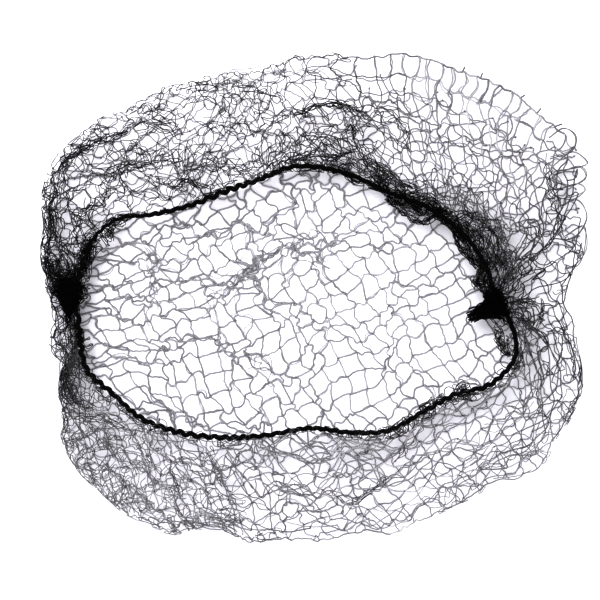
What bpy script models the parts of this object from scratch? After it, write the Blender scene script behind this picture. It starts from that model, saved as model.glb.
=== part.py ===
"""A hairnet lying flat: a netted bag whose open edge is threaded on a loop of elastic.

The bag lies with its crown down. The net spreads from the middle of the underside, turns up
in a fold all round and comes back over itself as a gathered band, as far as the elastic.
Units are metres, +Z is up, and the origin is on the surface that the net lies on.
"""

import math
from collections import namedtuple

import bmesh
import bpy
from mathutils import Matrix, Vector

MM = 0.001

# Net wall, and the coarse lattice that stands for its meshes
WALL = 1.2 * MM
GAPS_ACROSS = 8
GAP_SHARE = 16.0
WEB_SHARE = 6.6
STEPS_IN_GAP = 3
PITCH_STEPS = STEPS_IN_GAP + 1
SIDE_BULGE = 0.9 / 92.0
MIDDLE_REACH = 88 * MM
FLAT_MARGIN = 2 * MM

# Fold, and the band that comes back over the underside
FOLD_STEPS = 4
BAND_STOPS = (0.10, 0.28, 0.46, 0.57, 0.73, 0.89, 1.0)
OUTER_GAPS = (0.10, 0.46)
INNER_GAPS = (0.57, 0.89)
SMALLEST_GAP = 4.5 * MM
RIM_HEIGHT = 8.3 * MM
RIM_PAST_ELASTIC = 1.5 * MM
RIB_HEIGHT = 1.2 * MM

# Elastic
ELASTIC_RADIUS = 0.9 * MM
CLEARANCE = 0.3 * MM
ELASTIC_HEIGHT = RIM_HEIGHT + CLEARANCE + ELASTIC_RADIUS
ELASTIC_POINTS = 80

# Gathers: where each bunch sits on the elastic, as the angle of its section
RIGHT_GATHER = 2.0
LEFT_GATHER = 178.0
GATHER_ANGLES = (RIGHT_GATHER, LEFT_GATHER)
GATHER_DIP = 2.9 * MM
GATHER_FLAT = 9.5 * MM
GATHER_END = 19 * MM

# Sections of the bag, one every ten degrees round the origin, anticlockwise from +X:
# how far the fold reaches, where the elastic edge lies, and how high the fold stands
Section = namedtuple("Section", "angle reach edge_x edge_y crest")
SECTIONS = tuple(
    Section(*row)
    for row in (
        (0, 91.0, 66.6, -1.1, 6.6),
        (10, 99.5, 65.9, 1.8, 7.2),
        (20, 104.5, 64.4, 5.4, 8.2),
        (30, 111.0, 62.6, 11.2, 9.2),
        (40, 105.0, 57.6, 19.4, 9.2),
        (50, 102.0, 50.0, 27.0, 9.4),
        (60, 97.0, 40.0, 33.5, 9.8),
        (70, 94.5, 27.4, 38.2, 10.2),
        (80, 89.0, 14.4, 44.3, 10.2),
        (90, 88.5, 2.5, 47.2, 10.4),
        (100, 85.0, -7.9, 47.2, 10.8),
        (110, 87.5, -18.0, 43.2, 11.4),
        (120, 91.0, -30.2, 38.9, 12.0),
        (130, 94.5, -43.9, 33.5, 12.2),
        (140, 100.5, -57.6, 30.2, 11.8),
        (150, 104.5, -69.1, 28.8, 10.6),
        (160, 103.5, -77.8, 22.3, 9.0),
        (170, 99.5, -82.8, 11.2, 7.2),
        (180, 95.5, -85.3, 1.1, 6.2),
        (190, 97.0, -83.9, -6.8, 7.0),
        (200, 97.5, -83.2, -14.8, 8.4),
        (210, 103.5, -80.6, -25.6, 9.4),
        (220, 103.5, -72.0, -33.5, 9.8),
        (230, 102.0, -61.2, -42.8, 10.0),
        (240, 97.5, -47.5, -47.9, 10.0),
        (250, 91.0, -32.4, -49.7, 9.6),
        (260, 88.5, -17.3, -49.0, 9.6),
        (270, 87.5, -0.7, -46.4, 9.4),
        (280, 86.5, 13.7, -47.9, 9.4),
        (290, 90.0, 27.4, -47.2, 9.4),
        (300, 90.0, 39.6, -40.7, 9.6),
        (310, 92.5, 51.5, -34.2, 9.6),
        (320, 100.0, 63.4, -31.0, 9.2),
        (330, 101.0, 72.0, -22.7, 8.6),
        (340, 103.0, 73.1, -14.8, 8.0),
        (350, 97.0, 69.8, -5.4, 7.0),
    )
)
SECTION_SPACING = 360 / len(SECTIONS)

# Long creases in the band: from one section to another, at a share of the way from the fold
# to the elastic
Crease = namedtuple("Crease", "start end share half_width height")
CREASES = (
    Crease(100, 170, 0.50, 0.22, 1.6 * MM),
    Crease(40, 88, 0.72, 0.20, 1.0 * MM),
    Crease(205, 262, 0.50, 0.20, 1.1 * MM),
    Crease(285, 345, 0.50, 0.24, 1.2 * MM),
)

# Knots that lash the gathers: length along the elastic, width across it, height, and a tail
Knot = namedtuple("Knot", "name angle offset length width height")
KNOTS = (
    Knot("gather_knot_left", LEFT_GATHER, 1.2 * MM, 16 * MM, 8.6 * MM, 5.8 * MM),
    Knot("gather_knot_right", RIGHT_GATHER, -1.2 * MM, 15 * MM, 9 * MM, 6.2 * MM),
)
PASSAGE_STATIONS = 3
LASHING_TURNS = 5
LASHING_DEPTH = 0.12
KNOT_ROLL = 7
KNOT_SEGMENTS = 16
KNOT_RINGS = 16
TAIL_NODE = "gather_knot_right"
TAIL_START = (63.4 * MM, -2.4 * MM)
TAIL_END = (56.9 * MM, -6.6 * MM)
TAIL_RADII = (1.8 * MM, 0.6 * MM)
TAIL_SIDES = 10

# Colours
BLACK_THREAD = (0.016, 0.015, 0.017, 1.0)
BLACK_RUBBER = (0.011, 0.011, 0.012, 1.0)


def clear_scene():
    """Take away whatever the scene starts with."""
    for thing in list(bpy.data.objects):
        bpy.data.objects.remove(thing, do_unlink=True)


def make_collection(name):
    """Return a new collection linked to the scene."""
    made = bpy.data.collections.new(name)
    bpy.context.scene.collection.children.link(made)
    return made


def make_material(name, colour, roughness):
    """Return a plain cloth-like Principled material."""
    material = bpy.data.materials.new(name)
    material.use_nodes = True
    shader = material.node_tree.nodes["Principled BSDF"]
    shader.inputs["Base Color"].default_value = colour
    shader.inputs["Roughness"].default_value = roughness
    shader.inputs["Metallic"].default_value = 0.0
    return material


def smooth_step(value):
    """Ease from 0 to 1, flat at both ends and held outside them."""
    held = min(max(value, 0.0), 1.0)
    return held * held * (3 - 2 * held)


def read_column(column, angle):
    """Read one column of the sections at any angle, on a closed Catmull-Rom curve."""
    place = (angle % 360) / SECTION_SPACING
    first = int(place)
    share = place - first
    count = len(SECTIONS)
    before, here, there, after = (
        getattr(SECTIONS[(first + step) % count], column) for step in (-1, 0, 1, 2)
    )
    bend = 2 * before - 5 * here + 4 * there - after
    twist = 3 * (here - there) + after - before
    return MM * 0.5 * (
        2 * here + (there - before) * share + bend * share**2 + twist * share**3
    )


def outward(angle):
    """The flat direction from the origin to the section at this angle."""
    return Vector((math.cos(math.radians(angle)), math.sin(math.radians(angle)), 0))


def edge_point(angle):
    """Where the elastic's centre line crosses this section, in plan."""
    return Vector((read_column("edge_x", angle), read_column("edge_y", angle), 0))


def looseness(angle):
    """How free the net's rim is here: 0 in a lashed gather, 1 well away from both."""
    edge = edge_point(angle)
    nearest = min((edge - edge_point(gather)).length for gather in GATHER_ANGLES)
    return smooth_step((nearest - GATHER_FLAT) / (GATHER_END - GATHER_FLAT))


def rim_height(angle):
    """The height of the net's rim, which dips under each lashed gather."""
    return RIM_HEIGHT - GATHER_DIP * (1 - looseness(angle))


def crease_height(angle, share):
    """How far the long creases lift the band here."""
    lift = 0.0
    for crease in CREASES:
        along = (angle % 360 - crease.start) / (crease.end - crease.start)
        across = abs(share - crease.share) / crease.half_width
        if 0 < along < 1 and across < 1:
            lift += crease.height * math.sin(math.pi * along) * (1 - smooth_step(across))
    return lift


def fold_base(angle):
    """Where the flat underside ends and the fold begins in this section."""
    reach = read_column("reach", angle)
    return outward(angle) * (reach - read_column("crest", angle) / 2)


def band_end(angle):
    """The net's rim in this section, in plan, a little past the elastic."""
    edge = edge_point(angle)
    inward = (edge - fold_base(angle)).normalized()
    return edge + inward * RIM_PAST_ELASTIC


def band_point(angle, share, rib_phase):
    """A point of the upper band, a share of the way from the fold to the rim."""
    crest = read_column("crest", angle)
    point = fold_base(angle).lerp(band_end(angle), share)
    rim = rim_height(angle)
    point.z = crest + (rim - crest) * smooth_step(share)
    rib = RIB_HEIGHT * looseness(angle) * math.sin(math.pi * share) ** 2
    point.z += rib * (0.5 + 0.5 * math.cos(rib_phase))
    point.z += crease_height(angle, share)
    return point


def section_points(angle, rib_phase):
    """One section of the fold and the band, from the underside to the rim."""
    half = read_column("crest", angle) / 2
    base = fold_base(angle)
    points = [base]
    for step in range(1, FOLD_STEPS + 1):
        turn = math.pi * step / FOLD_STEPS
        lifted = base + outward(angle) * half * math.sin(turn)
        lifted.z = half * (1 - math.cos(turn))
        points.append(lifted)
    points += [band_point(angle, share, rib_phase) for share in BAND_STOPS]
    return points


def lattice_stop(index):
    """Where a grid line lies across the lattice, -1 to 1, with wide gaps and narrow webs."""
    gap, step = divmod(index, PITCH_STEPS)
    pitch = GAP_SHARE + WEB_SHARE
    whole = GAPS_ACROSS * pitch - WEB_SHARE
    across = gap * pitch + step * GAP_SHARE / STEPS_IN_GAP
    return 2 * across / whole - 1


def bulged_stop(index, other, last):
    """A grid line's place, where a gap's side bows out into the web beside it."""
    place = lattice_stop(index)
    in_a_gap = other % PITCH_STEPS in range(1, STEPS_IN_GAP)
    if not in_a_gap or index in (0, last):
        return place
    side = index % PITCH_STEPS
    if side == 0:
        return place - SIDE_BULGE
    if side == STEPS_IN_GAP:
        return place + SIDE_BULGE
    return place


def lattice_point(across, along):
    """Press the square lattice out into a round that ends where the fold begins."""
    u = across * math.sqrt(1 - along**2 / 2)
    v = along * math.sqrt(1 - across**2 / 2)
    radius = math.hypot(u, v)
    angle = math.degrees(math.atan2(v, u)) + 45
    if radius == 0:
        return Vector((0, 0, 0)), angle
    end = fold_base(angle).length - FLAT_MARGIN
    return outward(angle) * radius * (MIDDLE_REACH + (end - MIDDLE_REACH) * radius), angle


def in_lattice_gap(face, half):
    """Whether a cell of the plain grid lies in one of the lattice's gaps."""
    centre = face.calc_center_median()
    steps = (int(centre.x + half) % PITCH_STEPS, int(centre.y + half) % PITCH_STEPS)
    return STEPS_IN_GAP not in steps


def build_lattice(bm):
    """Make the underside. Return its edge's vertices in order with their angles, and its gaps."""
    cells = GAPS_ACROSS * PITCH_STEPS - 1
    half = cells / 2
    bmesh.ops.create_grid(bm, x_segments=cells, y_segments=cells, size=half)
    gaps = [face for face in bm.faces if in_lattice_gap(face, half)]
    edge = []
    for vertex in bm.verts:
        column, row = round(vertex.co.x + half), round(vertex.co.y + half)
        across = bulged_stop(column, row, cells)
        along = bulged_stop(row, column, cells)
        vertex.co, angle = lattice_point(across, along)
        if 0 in (column, row) or cells in (column, row):
            edge.append((angle % 360, vertex))
    edge.sort(key=lambda pair: pair[0])
    return edge, gaps


def band_gap_rows():
    """The rows of faces that hold the band's two rings of gaps, each with its stagger."""
    first_row = FOLD_STEPS + 1
    shares = (0.0,) + BAND_STOPS
    rows = {}
    for stagger, (low, high) in ((0, OUTER_GAPS), (PITCH_STEPS // 2, INNER_GAPS)):
        for step in range(len(BAND_STOPS)):
            if low <= shares[step] and shares[step + 1] <= high:
                rows[first_row + step] = (stagger, high - low)
    return rows


def gap_is_open(angle, share):
    """Whether the band is long and loose enough here to show a gap."""
    length = (band_end(angle) - fold_base(angle)).length
    return looseness(angle) > 0 and length * share > SMALLEST_GAP


def build_band(bm, edge):
    """Carry the underside's edge round the fold and back to the rim, with gaps in it."""
    count = len(edge)
    angles = [angle for angle, _ in edge]
    phases = [2 * math.pi * (column + 0.5) / PITCH_STEPS for column in range(count)]
    sections = [section_points(a, p) for a, p in zip(angles, phases)]
    gap_rows = band_gap_rows()
    below = [vertex for _, vertex in edge]
    for row in range(len(sections[0])):
        above = [bm.verts.new(section[row]) for section in sections]
        stagger, share = gap_rows.get(row, (0, 0))
        for column in range(count):
            beside = (column + 1) % count
            step = (column + stagger) % PITCH_STEPS
            middle = angles[(column - step + 1) % count]
            web = not share or step == STEPS_IN_GAP
            if web or not gap_is_open(middle, share):
                bm.faces.new((below[column], below[beside], above[beside], above[column]))
        below = above


def make_net(collection):
    """The net: one open surface, thickened inwards."""
    bm = bmesh.new()
    edge, gaps = build_lattice(bm)
    build_band(bm, edge)
    bmesh.ops.delete(bm, geom=gaps, context="FACES")
    loose = [vertex for vertex in bm.verts if not vertex.link_faces]
    bmesh.ops.delete(bm, geom=loose, context="VERTS")
    bmesh.ops.recalc_face_normals(bm, faces=bm.faces)
    bm.faces.ensure_lookup_table()
    lowest = min(bm.faces, key=lambda face: face.calc_center_median().length)
    if lowest.normal.z > 0:
        bmesh.ops.reverse_faces(bm, faces=bm.faces)
    mesh = bpy.data.meshes.new("net")
    bm.to_mesh(mesh)
    bm.free()
    mesh.shade_smooth()
    net = bpy.data.objects.new("net", mesh)
    collection.objects.link(net)
    wall = net.modifiers.new("Wall", "SOLIDIFY")
    wall.thickness = WALL
    wall.offset = -1
    net.data.materials.append(make_material("black_net_thread", BLACK_THREAD, 0.75))
    return net


def elastic_stations(count):
    """Evenly spaced points round the elastic's centre line."""
    fine = [edge_point(step / 4) for step in range(4 * 360)]
    lengths = [0.0]
    for here, there in zip(fine, fine[1:] + fine[:1]):
        lengths.append(lengths[-1] + (there - here).length)
    stations = []
    place = 0
    for number in range(count):
        target = lengths[-1] * number / count
        while lengths[place + 1] <= target:
            place += 1
        share = (target - lengths[place]) / (lengths[place + 1] - lengths[place])
        point = fine[place].lerp(fine[(place + 1) % len(fine)], share)
        point.z = ELASTIC_HEIGHT
        stations.append(point)
    return stations


def make_tube(name, points, radius, closed, collection):
    """A round cord through the points, as a bevelled curve with filled ends."""
    curve = bpy.data.curves.new(name, "CURVE")
    curve.dimensions = "3D"
    curve.bevel_depth = radius
    curve.bevel_resolution = 2
    curve.use_fill_caps = True
    spline = curve.splines.new("POLY")
    spline.points.add(len(points) - 1)
    for spot, point in zip(spline.points, points):
        spot.co = (*point, 1.0)
    spline.use_cyclic_u = closed
    tube = bpy.data.objects.new(name, curve)
    collection.objects.link(tube)
    return tube


def make_elastic(stations, collection):
    """The loop of elastic that the net's edge is threaded on."""
    elastic = make_tube("elastic_cord", stations, ELASTIC_RADIUS, True, collection)
    elastic.data.materials.append(make_material("black_elastic", BLACK_RUBBER, 0.6))
    return elastic


def set_as_tool(tool):
    """Keep a shaping object out of sight."""
    tool.hide_render = True
    tool.display_type = "WIRE"


def curve_as_mesh(tube, collection):
    """Swap a curve for the same shape as one welded mesh."""
    bpy.context.view_layer.update()
    evaluated = tube.evaluated_get(bpy.context.evaluated_depsgraph_get())
    mesh = bpy.data.meshes.new_from_object(evaluated)
    bm = bmesh.new()
    bm.from_mesh(mesh)
    bmesh.ops.remove_doubles(bm, verts=bm.verts, dist=0.01 * MM)
    bm.to_mesh(mesh)
    bm.free()
    solid = bpy.data.objects.new(tube.name + "_mesh", mesh)
    solid.matrix_world = tube.matrix_world
    collection.objects.link(solid)
    bpy.data.objects.remove(tube, do_unlink=True)
    return solid


def nearest_station(stations, angle):
    """The place in the list of the elastic's point nearest to a section's edge."""
    edge = edge_point(angle)
    return min(range(len(stations)), key=lambda spot: (stations[spot].xy - edge.xy).length)


def make_passage(knot, stations, cutters):
    """The tunnel that the elastic runs through in one knot."""
    middle = nearest_station(stations, knot.angle)
    steps = range(-PASSAGE_STATIONS, PASSAGE_STATIONS + 1)
    points = [stations[(middle + step) % len(stations)] for step in steps]
    radius = ELASTIC_RADIUS + CLEARANCE
    passage = curve_as_mesh(
        make_tube(knot.name + "_passage", points, radius, False, cutters), cutters
    )
    set_as_tool(passage)
    return passage


def make_tail(cutters):
    """The loose end that stands out of the right knot."""
    start = Vector((*TAIL_START, ELASTIC_HEIGHT))
    end = Vector((*TAIL_END, ELASTIC_HEIGHT - 1 * MM))
    bm = bmesh.new()
    bmesh.ops.create_cone(
        bm,
        cap_ends=True,
        segments=TAIL_SIDES,
        radius1=TAIL_RADII[0],
        radius2=TAIL_RADII[1],
        depth=(end - start).length,
    )
    mesh = bpy.data.meshes.new("knot_tail")
    bm.to_mesh(mesh)
    bm.free()
    tail = bpy.data.objects.new("knot_tail", mesh)
    turn = (end - start).to_track_quat("Z", "X").to_matrix().to_4x4()
    tail.matrix_world = Matrix.Translation((start + end) / 2) @ turn
    cutters.objects.link(tail)
    set_as_tool(tail)
    return tail


def add_boolean(piece, tool, operation):
    """Cut or join one piece with a shaping object."""
    boolean = piece.modifiers.new(operation.title(), "BOOLEAN")
    boolean.operation = operation
    boolean.solver = "EXACT"
    boolean.object = tool


def make_knot(knot, stations, collection, cutters):
    """A bunch of net lashed round the elastic, with the turns of its lashing."""
    bm = bmesh.new()
    bmesh.ops.create_uvsphere(
        bm, u_segments=KNOT_SEGMENTS, v_segments=KNOT_RINGS, radius=0.5
    )
    for vertex in bm.verts:
        turns = math.cos(2 * math.pi * LASHING_TURNS * vertex.co.z)
        swell = 1 + LASHING_DEPTH * turns * (1 - abs(2 * vertex.co.z))
        vertex.co.x *= swell * knot.width
        vertex.co.y *= swell * knot.height
        vertex.co.z *= knot.length
    mesh = bpy.data.meshes.new(knot.name)
    bm.to_mesh(mesh)
    bm.free()
    mesh.shade_smooth()
    piece = bpy.data.objects.new(knot.name, mesh)
    middle = nearest_station(stations, knot.angle)
    ahead = stations[(middle + 1) % len(stations)] - stations[middle - 1]
    heading = Matrix.Rotation(math.atan2(-ahead.x, ahead.y), 4, "Z")
    laid_down = Matrix.Rotation(math.radians(90), 4, "X")
    rolled = Matrix.Rotation(math.radians(KNOT_ROLL), 4, "Z")
    centre = edge_point(knot.angle) + outward(knot.angle) * knot.offset
    centre.z = ELASTIC_HEIGHT
    piece.matrix_world = Matrix.Translation(centre) @ heading @ laid_down @ rolled
    collection.objects.link(piece)
    if knot.name == TAIL_NODE:
        add_boolean(piece, make_tail(cutters), "UNION")
    add_boolean(piece, make_passage(knot, stations, cutters), "DIFFERENCE")
    piece.data.materials.append(make_material(knot.name + "_thread", BLACK_THREAD, 0.8))
    return piece


def main():
    """Build the hairnet."""
    clear_scene()
    parts = make_collection("Hairnet")
    cutters = make_collection("Cutters")
    stations = elastic_stations(ELASTIC_POINTS)
    make_net(parts)
    make_elastic(stations, parts)
    for knot in KNOTS:
        make_knot(knot, stations, parts, cutters)


main()
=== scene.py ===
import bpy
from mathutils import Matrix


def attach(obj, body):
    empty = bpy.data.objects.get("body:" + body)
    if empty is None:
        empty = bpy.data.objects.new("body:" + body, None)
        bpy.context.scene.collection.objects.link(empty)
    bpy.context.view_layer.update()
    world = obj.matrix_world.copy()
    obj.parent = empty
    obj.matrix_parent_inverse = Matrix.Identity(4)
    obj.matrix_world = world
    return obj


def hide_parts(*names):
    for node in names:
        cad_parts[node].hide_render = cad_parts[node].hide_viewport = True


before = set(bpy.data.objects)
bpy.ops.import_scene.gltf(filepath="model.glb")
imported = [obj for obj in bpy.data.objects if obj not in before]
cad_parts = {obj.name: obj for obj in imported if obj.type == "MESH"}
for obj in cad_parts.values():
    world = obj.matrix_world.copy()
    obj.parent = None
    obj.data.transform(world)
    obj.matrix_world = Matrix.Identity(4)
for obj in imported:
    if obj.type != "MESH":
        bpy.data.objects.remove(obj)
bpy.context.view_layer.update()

import math
from collections import namedtuple
from functools import partial

import bpy
import numpy as np

# Lengths are in millimetres until a mesh is made, and angles in degrees round the middle of
# the net, from the right gather over the top
MM = 0.001

# ---- Tables -------------------------------------------------------------------------------


def rows_of(kind, *rows):
    """The rows of a table, with a name for each of their values."""
    return tuple(kind(*row) for row in rows)


# The outline of the net at an angle and five degrees on, the line of the elastic, the height
# of the fold and how strongly the elastic is crimped, every ten degrees. The angle of the
# first row in a line stands behind it
Section = namedtuple("Section", "reach reach_after edge_x edge_y crest crimp")
SECTIONS = rows_of(
    Section,
    (90.8, 94.0, 66.6, -1.1, 6.6, 0.2), (99.3, 102.3, 65.9, 1.8, 7.2, 0.2),  # 0
    (104.9, 108.1, 64.4, 5.4, 8.2, 0.2), (111.0, 108.4, 62.6, 11.2, 9.2, 0.2),  # 20
    (105.6, 104.4, 57.6, 19.4, 9.2, 0.2), (102.1, 99.1, 50.0, 27.0, 9.4, 0.3),  # 40
    (97.2, 95.9, 40.0, 33.5, 9.8, 0.3), (94.3, 90.6, 27.4, 38.2, 10.2, 0.4),  # 60
    (89.0, 89.1, 14.4, 44.3, 10.2, 0.4), (88.6, 87.8, 2.5, 47.2, 10.4, 0.4),  # 80
    (86.0, 85.7, -7.9, 47.2, 10.8, 0.6), (87.5, 88.6, -18.0, 43.2, 11.4, 0.9),  # 100
    (91.1, 93.0, -30.2, 38.9, 12.0, 1.0), (94.6, 96.5, -43.9, 33.5, 12.2, 1.0),  # 120
    (100.6, 102.8, -57.6, 30.2, 11.8, 0.4), (105.1, 105.5, -69.1, 28.8, 10.6, 0.4),  # 140
    (103.8, 100.2, -77.8, 22.3, 9.0, 0.5), (99.6, 97.3, -82.8, 11.2, 7.2, 0.7),  # 160
    (95.3, 93.2, -85.3, 1.1, 6.2, 0.8), (96.5, 93.8, -83.9, -6.8, 7.0, 1.0),  # 180
    (97.2, 99.0, -83.2, -14.8, 8.4, 1.0), (103.8, 104.7, -80.6, -25.6, 9.4, 0.9),  # 200
    (103.9, 103.1, -72.0, -33.5, 9.8, 0.7), (102.6, 100.6, -61.2, -42.8, 10.0, 0.9),  # 220
    (98.0, 91.6, -47.5, -47.9, 10.0, 1.0), (89.8, 91.2, -32.4, -49.7, 11.04, 1.10),  # 240
    (88.8, 87.5, -17.3, -49.0, 9.6, 0.7), (87.6, 87.3, -0.7, -46.4, 9.4, 0.4),  # 260
    (86.3, 87.6, 13.7, -47.9, 9.4, 0.3), (90.1, 89.2, 27.4, -47.2, 9.4, 0.5),  # 280
    (89.9, 90.6, 39.6, -40.7, 11.04, 0.70), (92.5, 93.3, 51.5, -34.2, 9.6, 0.7),  # 300
    (100.0, 102.6, 63.4, -31.0, 9.2, 0.6), (101.4, 102.3, 72.0, -22.7, 9.89, 0.50),  # 320
    (102.8, 100.7, 73.1, -14.8, 8.0, 0.3), (97.2, 95.0, 69.8, -5.4, 7.0, 0.2),  # 340
)

# The folded-over band of net, by the angle of a mesh column at the outer fold: the width of a
# column, the angle where the column meets the elastic, the depth of a row, whether the meshes
# hang as diamonds (1) or squares (0), the share of the width that lies in an outer and in an
# inner pleat, how far the last rows are crumpled up, how far loops of them reach past the
# elastic, how far whole rows wander and single knots stray, how slack the threads are, and
# the thickness and grey of the thread
Zone = namedtuple(
    "Zone", "angle column edge row diamond pleat tuck crumple inner flow stray slack thread grey"
)
ZONES = rows_of(
    Zone,
    (-8, 12.5, -3, 6.0, 1, 0.10, 0.20, 0.20, 1.0, 2.0, 1.2, 1.25, 0.27, 0.10),
    (8, 12.0, 3, 6.0, 1, 0.10, 0.15, 0.20, 2.0, 2.0, 1.2, 1.25, 0.27, 0.10),
    (22, 9.0, 8, 5.5, 1, 0.10, 0.15, 0.20, 4.0, 2.0, 1.1, 1.25, 0.30, 0.12),
    (35, 5.0, 18, 5.6, 0, 0.05, 0.12, 0.10, 5.0, 1.0, 0.6, 1.12, 0.55, 0.42),
    (50, 4.5, 38, 5.6, 0, 0.00, 0.16, 0.10, 3.0, 0.8, 0.45, 1.10, 0.60, 0.48),
    (65, 4.3, 58, 5.4, 0, 0.00, 0.18, 0.15, 3.0, 0.8, 0.45, 1.10, 0.54, 0.45),
    (78, 6.4, 72, 5.4, 0, 0.06, 0.26, 0.15, 3.0, 1.6, 0.6, 1.10, 0.34, 0.20),
    (90, 8.4, 88, 4.6, 1, 0.10, 0.32, 0.10, 1.0, 2.8, 1.1, 1.20, 0.23, 0.12),
    (105, 9.0, 102, 4.3, 1, 0.10, 0.32, 0.05, 0.0, 3.2, 1.1, 1.22, 0.195, 0.13),
    (120, 9.0, 118, 4.1, 1, 0.12, 0.30, 0.00, 0.0, 3.4, 1.1, 1.24, 0.19, 0.14),
    (135, 9.0, 133, 4.1, 1, 0.12, 0.30, 0.00, 0.0, 3.4, 1.1, 1.24, 0.19, 0.13),
    (150, 9.5, 152, 4.6, 1, 0.12, 0.28, 0.00, 0.0, 3.0, 1.0, 1.20, 0.21, 0.05),
    (163, 9.0, 170, 4.2, 1, 0.12, 0.28, 0.00, 2.0, 2.4, 0.9, 1.15, 0.22, 0.05),
    (174, 7.5, 177, 3.2, 1, 0.14, 0.26, 0.05, 1.0, 2.0, 0.8, 1.15, 0.22, 0.04),
    (184, 6.5, 181, 2.6, 1, 0.15, 0.25, 0.05, 1.0, 2.0, 0.8, 1.15, 0.22, 0.05),
    (195, 6.5, 188, 2.8, 1, 0.16, 0.24, 0.00, 0.0, 2.0, 0.8, 1.20, 0.24, 0.07),
    (208, 7.6, 200, 4.0, 1, 0.14, 0.24, 0.00, 0.0, 2.8, 1.2, 1.45, 0.23, 0.20),
    (222, 8.0, 218, 4.2, 1, 0.14, 0.24, 0.00, 0.0, 3.2, 1.3, 1.45, 0.25, 0.34),
    (236, 9.0, 232, 4.1, 1, 0.12, 0.24, 0.00, 0.0, 3.2, 1.2, 1.42, 0.26, 0.36),
    (250, 10.6, 246, 3.3, 1, 0.10, 0.24, 0.00, 0.0, 2.6, 0.8, 1.28, 0.30, 0.36),
    (268, 11.8, 265, 2.8, 1, 0.08, 0.22, 0.05, 0.0, 2.4, 0.5, 1.14, 0.40, 0.44),
    (285, 12.8, 284, 2.6, 1, 0.08, 0.22, 0.05, 0.0, 2.4, 0.45, 1.12, 0.41, 0.47),
    (300, 14.2, 302, 2.8, 1, 0.10, 0.18, 0.05, 1.0, 2.4, 0.45, 1.12, 0.35, 0.43),
    (315, 15.5, 322, 2.9, 1, 0.12, 0.12, 0.05, 2.0, 2.4, 0.45, 1.12, 0.37, 0.44),
    (330, 14.0, 340, 3.2, 1, 0.12, 0.12, 0.05, 1.0, 2.4, 0.5, 1.14, 0.32, 0.30),
    (342, 12.5, 352, 4.6, 1, 0.12, 0.16, 0.10, 1.0, 2.0, 0.9, 1.22, 0.27, 0.16),
)

# Lines that the layer underneath is drawn together along, how wide and how firmly
Pinch = namedtuple("Pinch", "start_x start_y end_x end_y reach pull")
UNDERSIDE_PINCHES = rows_of(
    Pinch,
    (-42, 2, 6, 24, 8, 0.45), (-58, 26, -57, -12, 8, 0.50),
    (-22, 20, -30, -6, 6, 0.30), (10, 30, 4, 14, 5, 0.30),
    (-30, -22, -8, -30, 6, 0.35), (-44, -7, -11, 20, 5, 0.22),
    (-11, 20, 6, 10, 5, 0.25),
)

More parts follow.
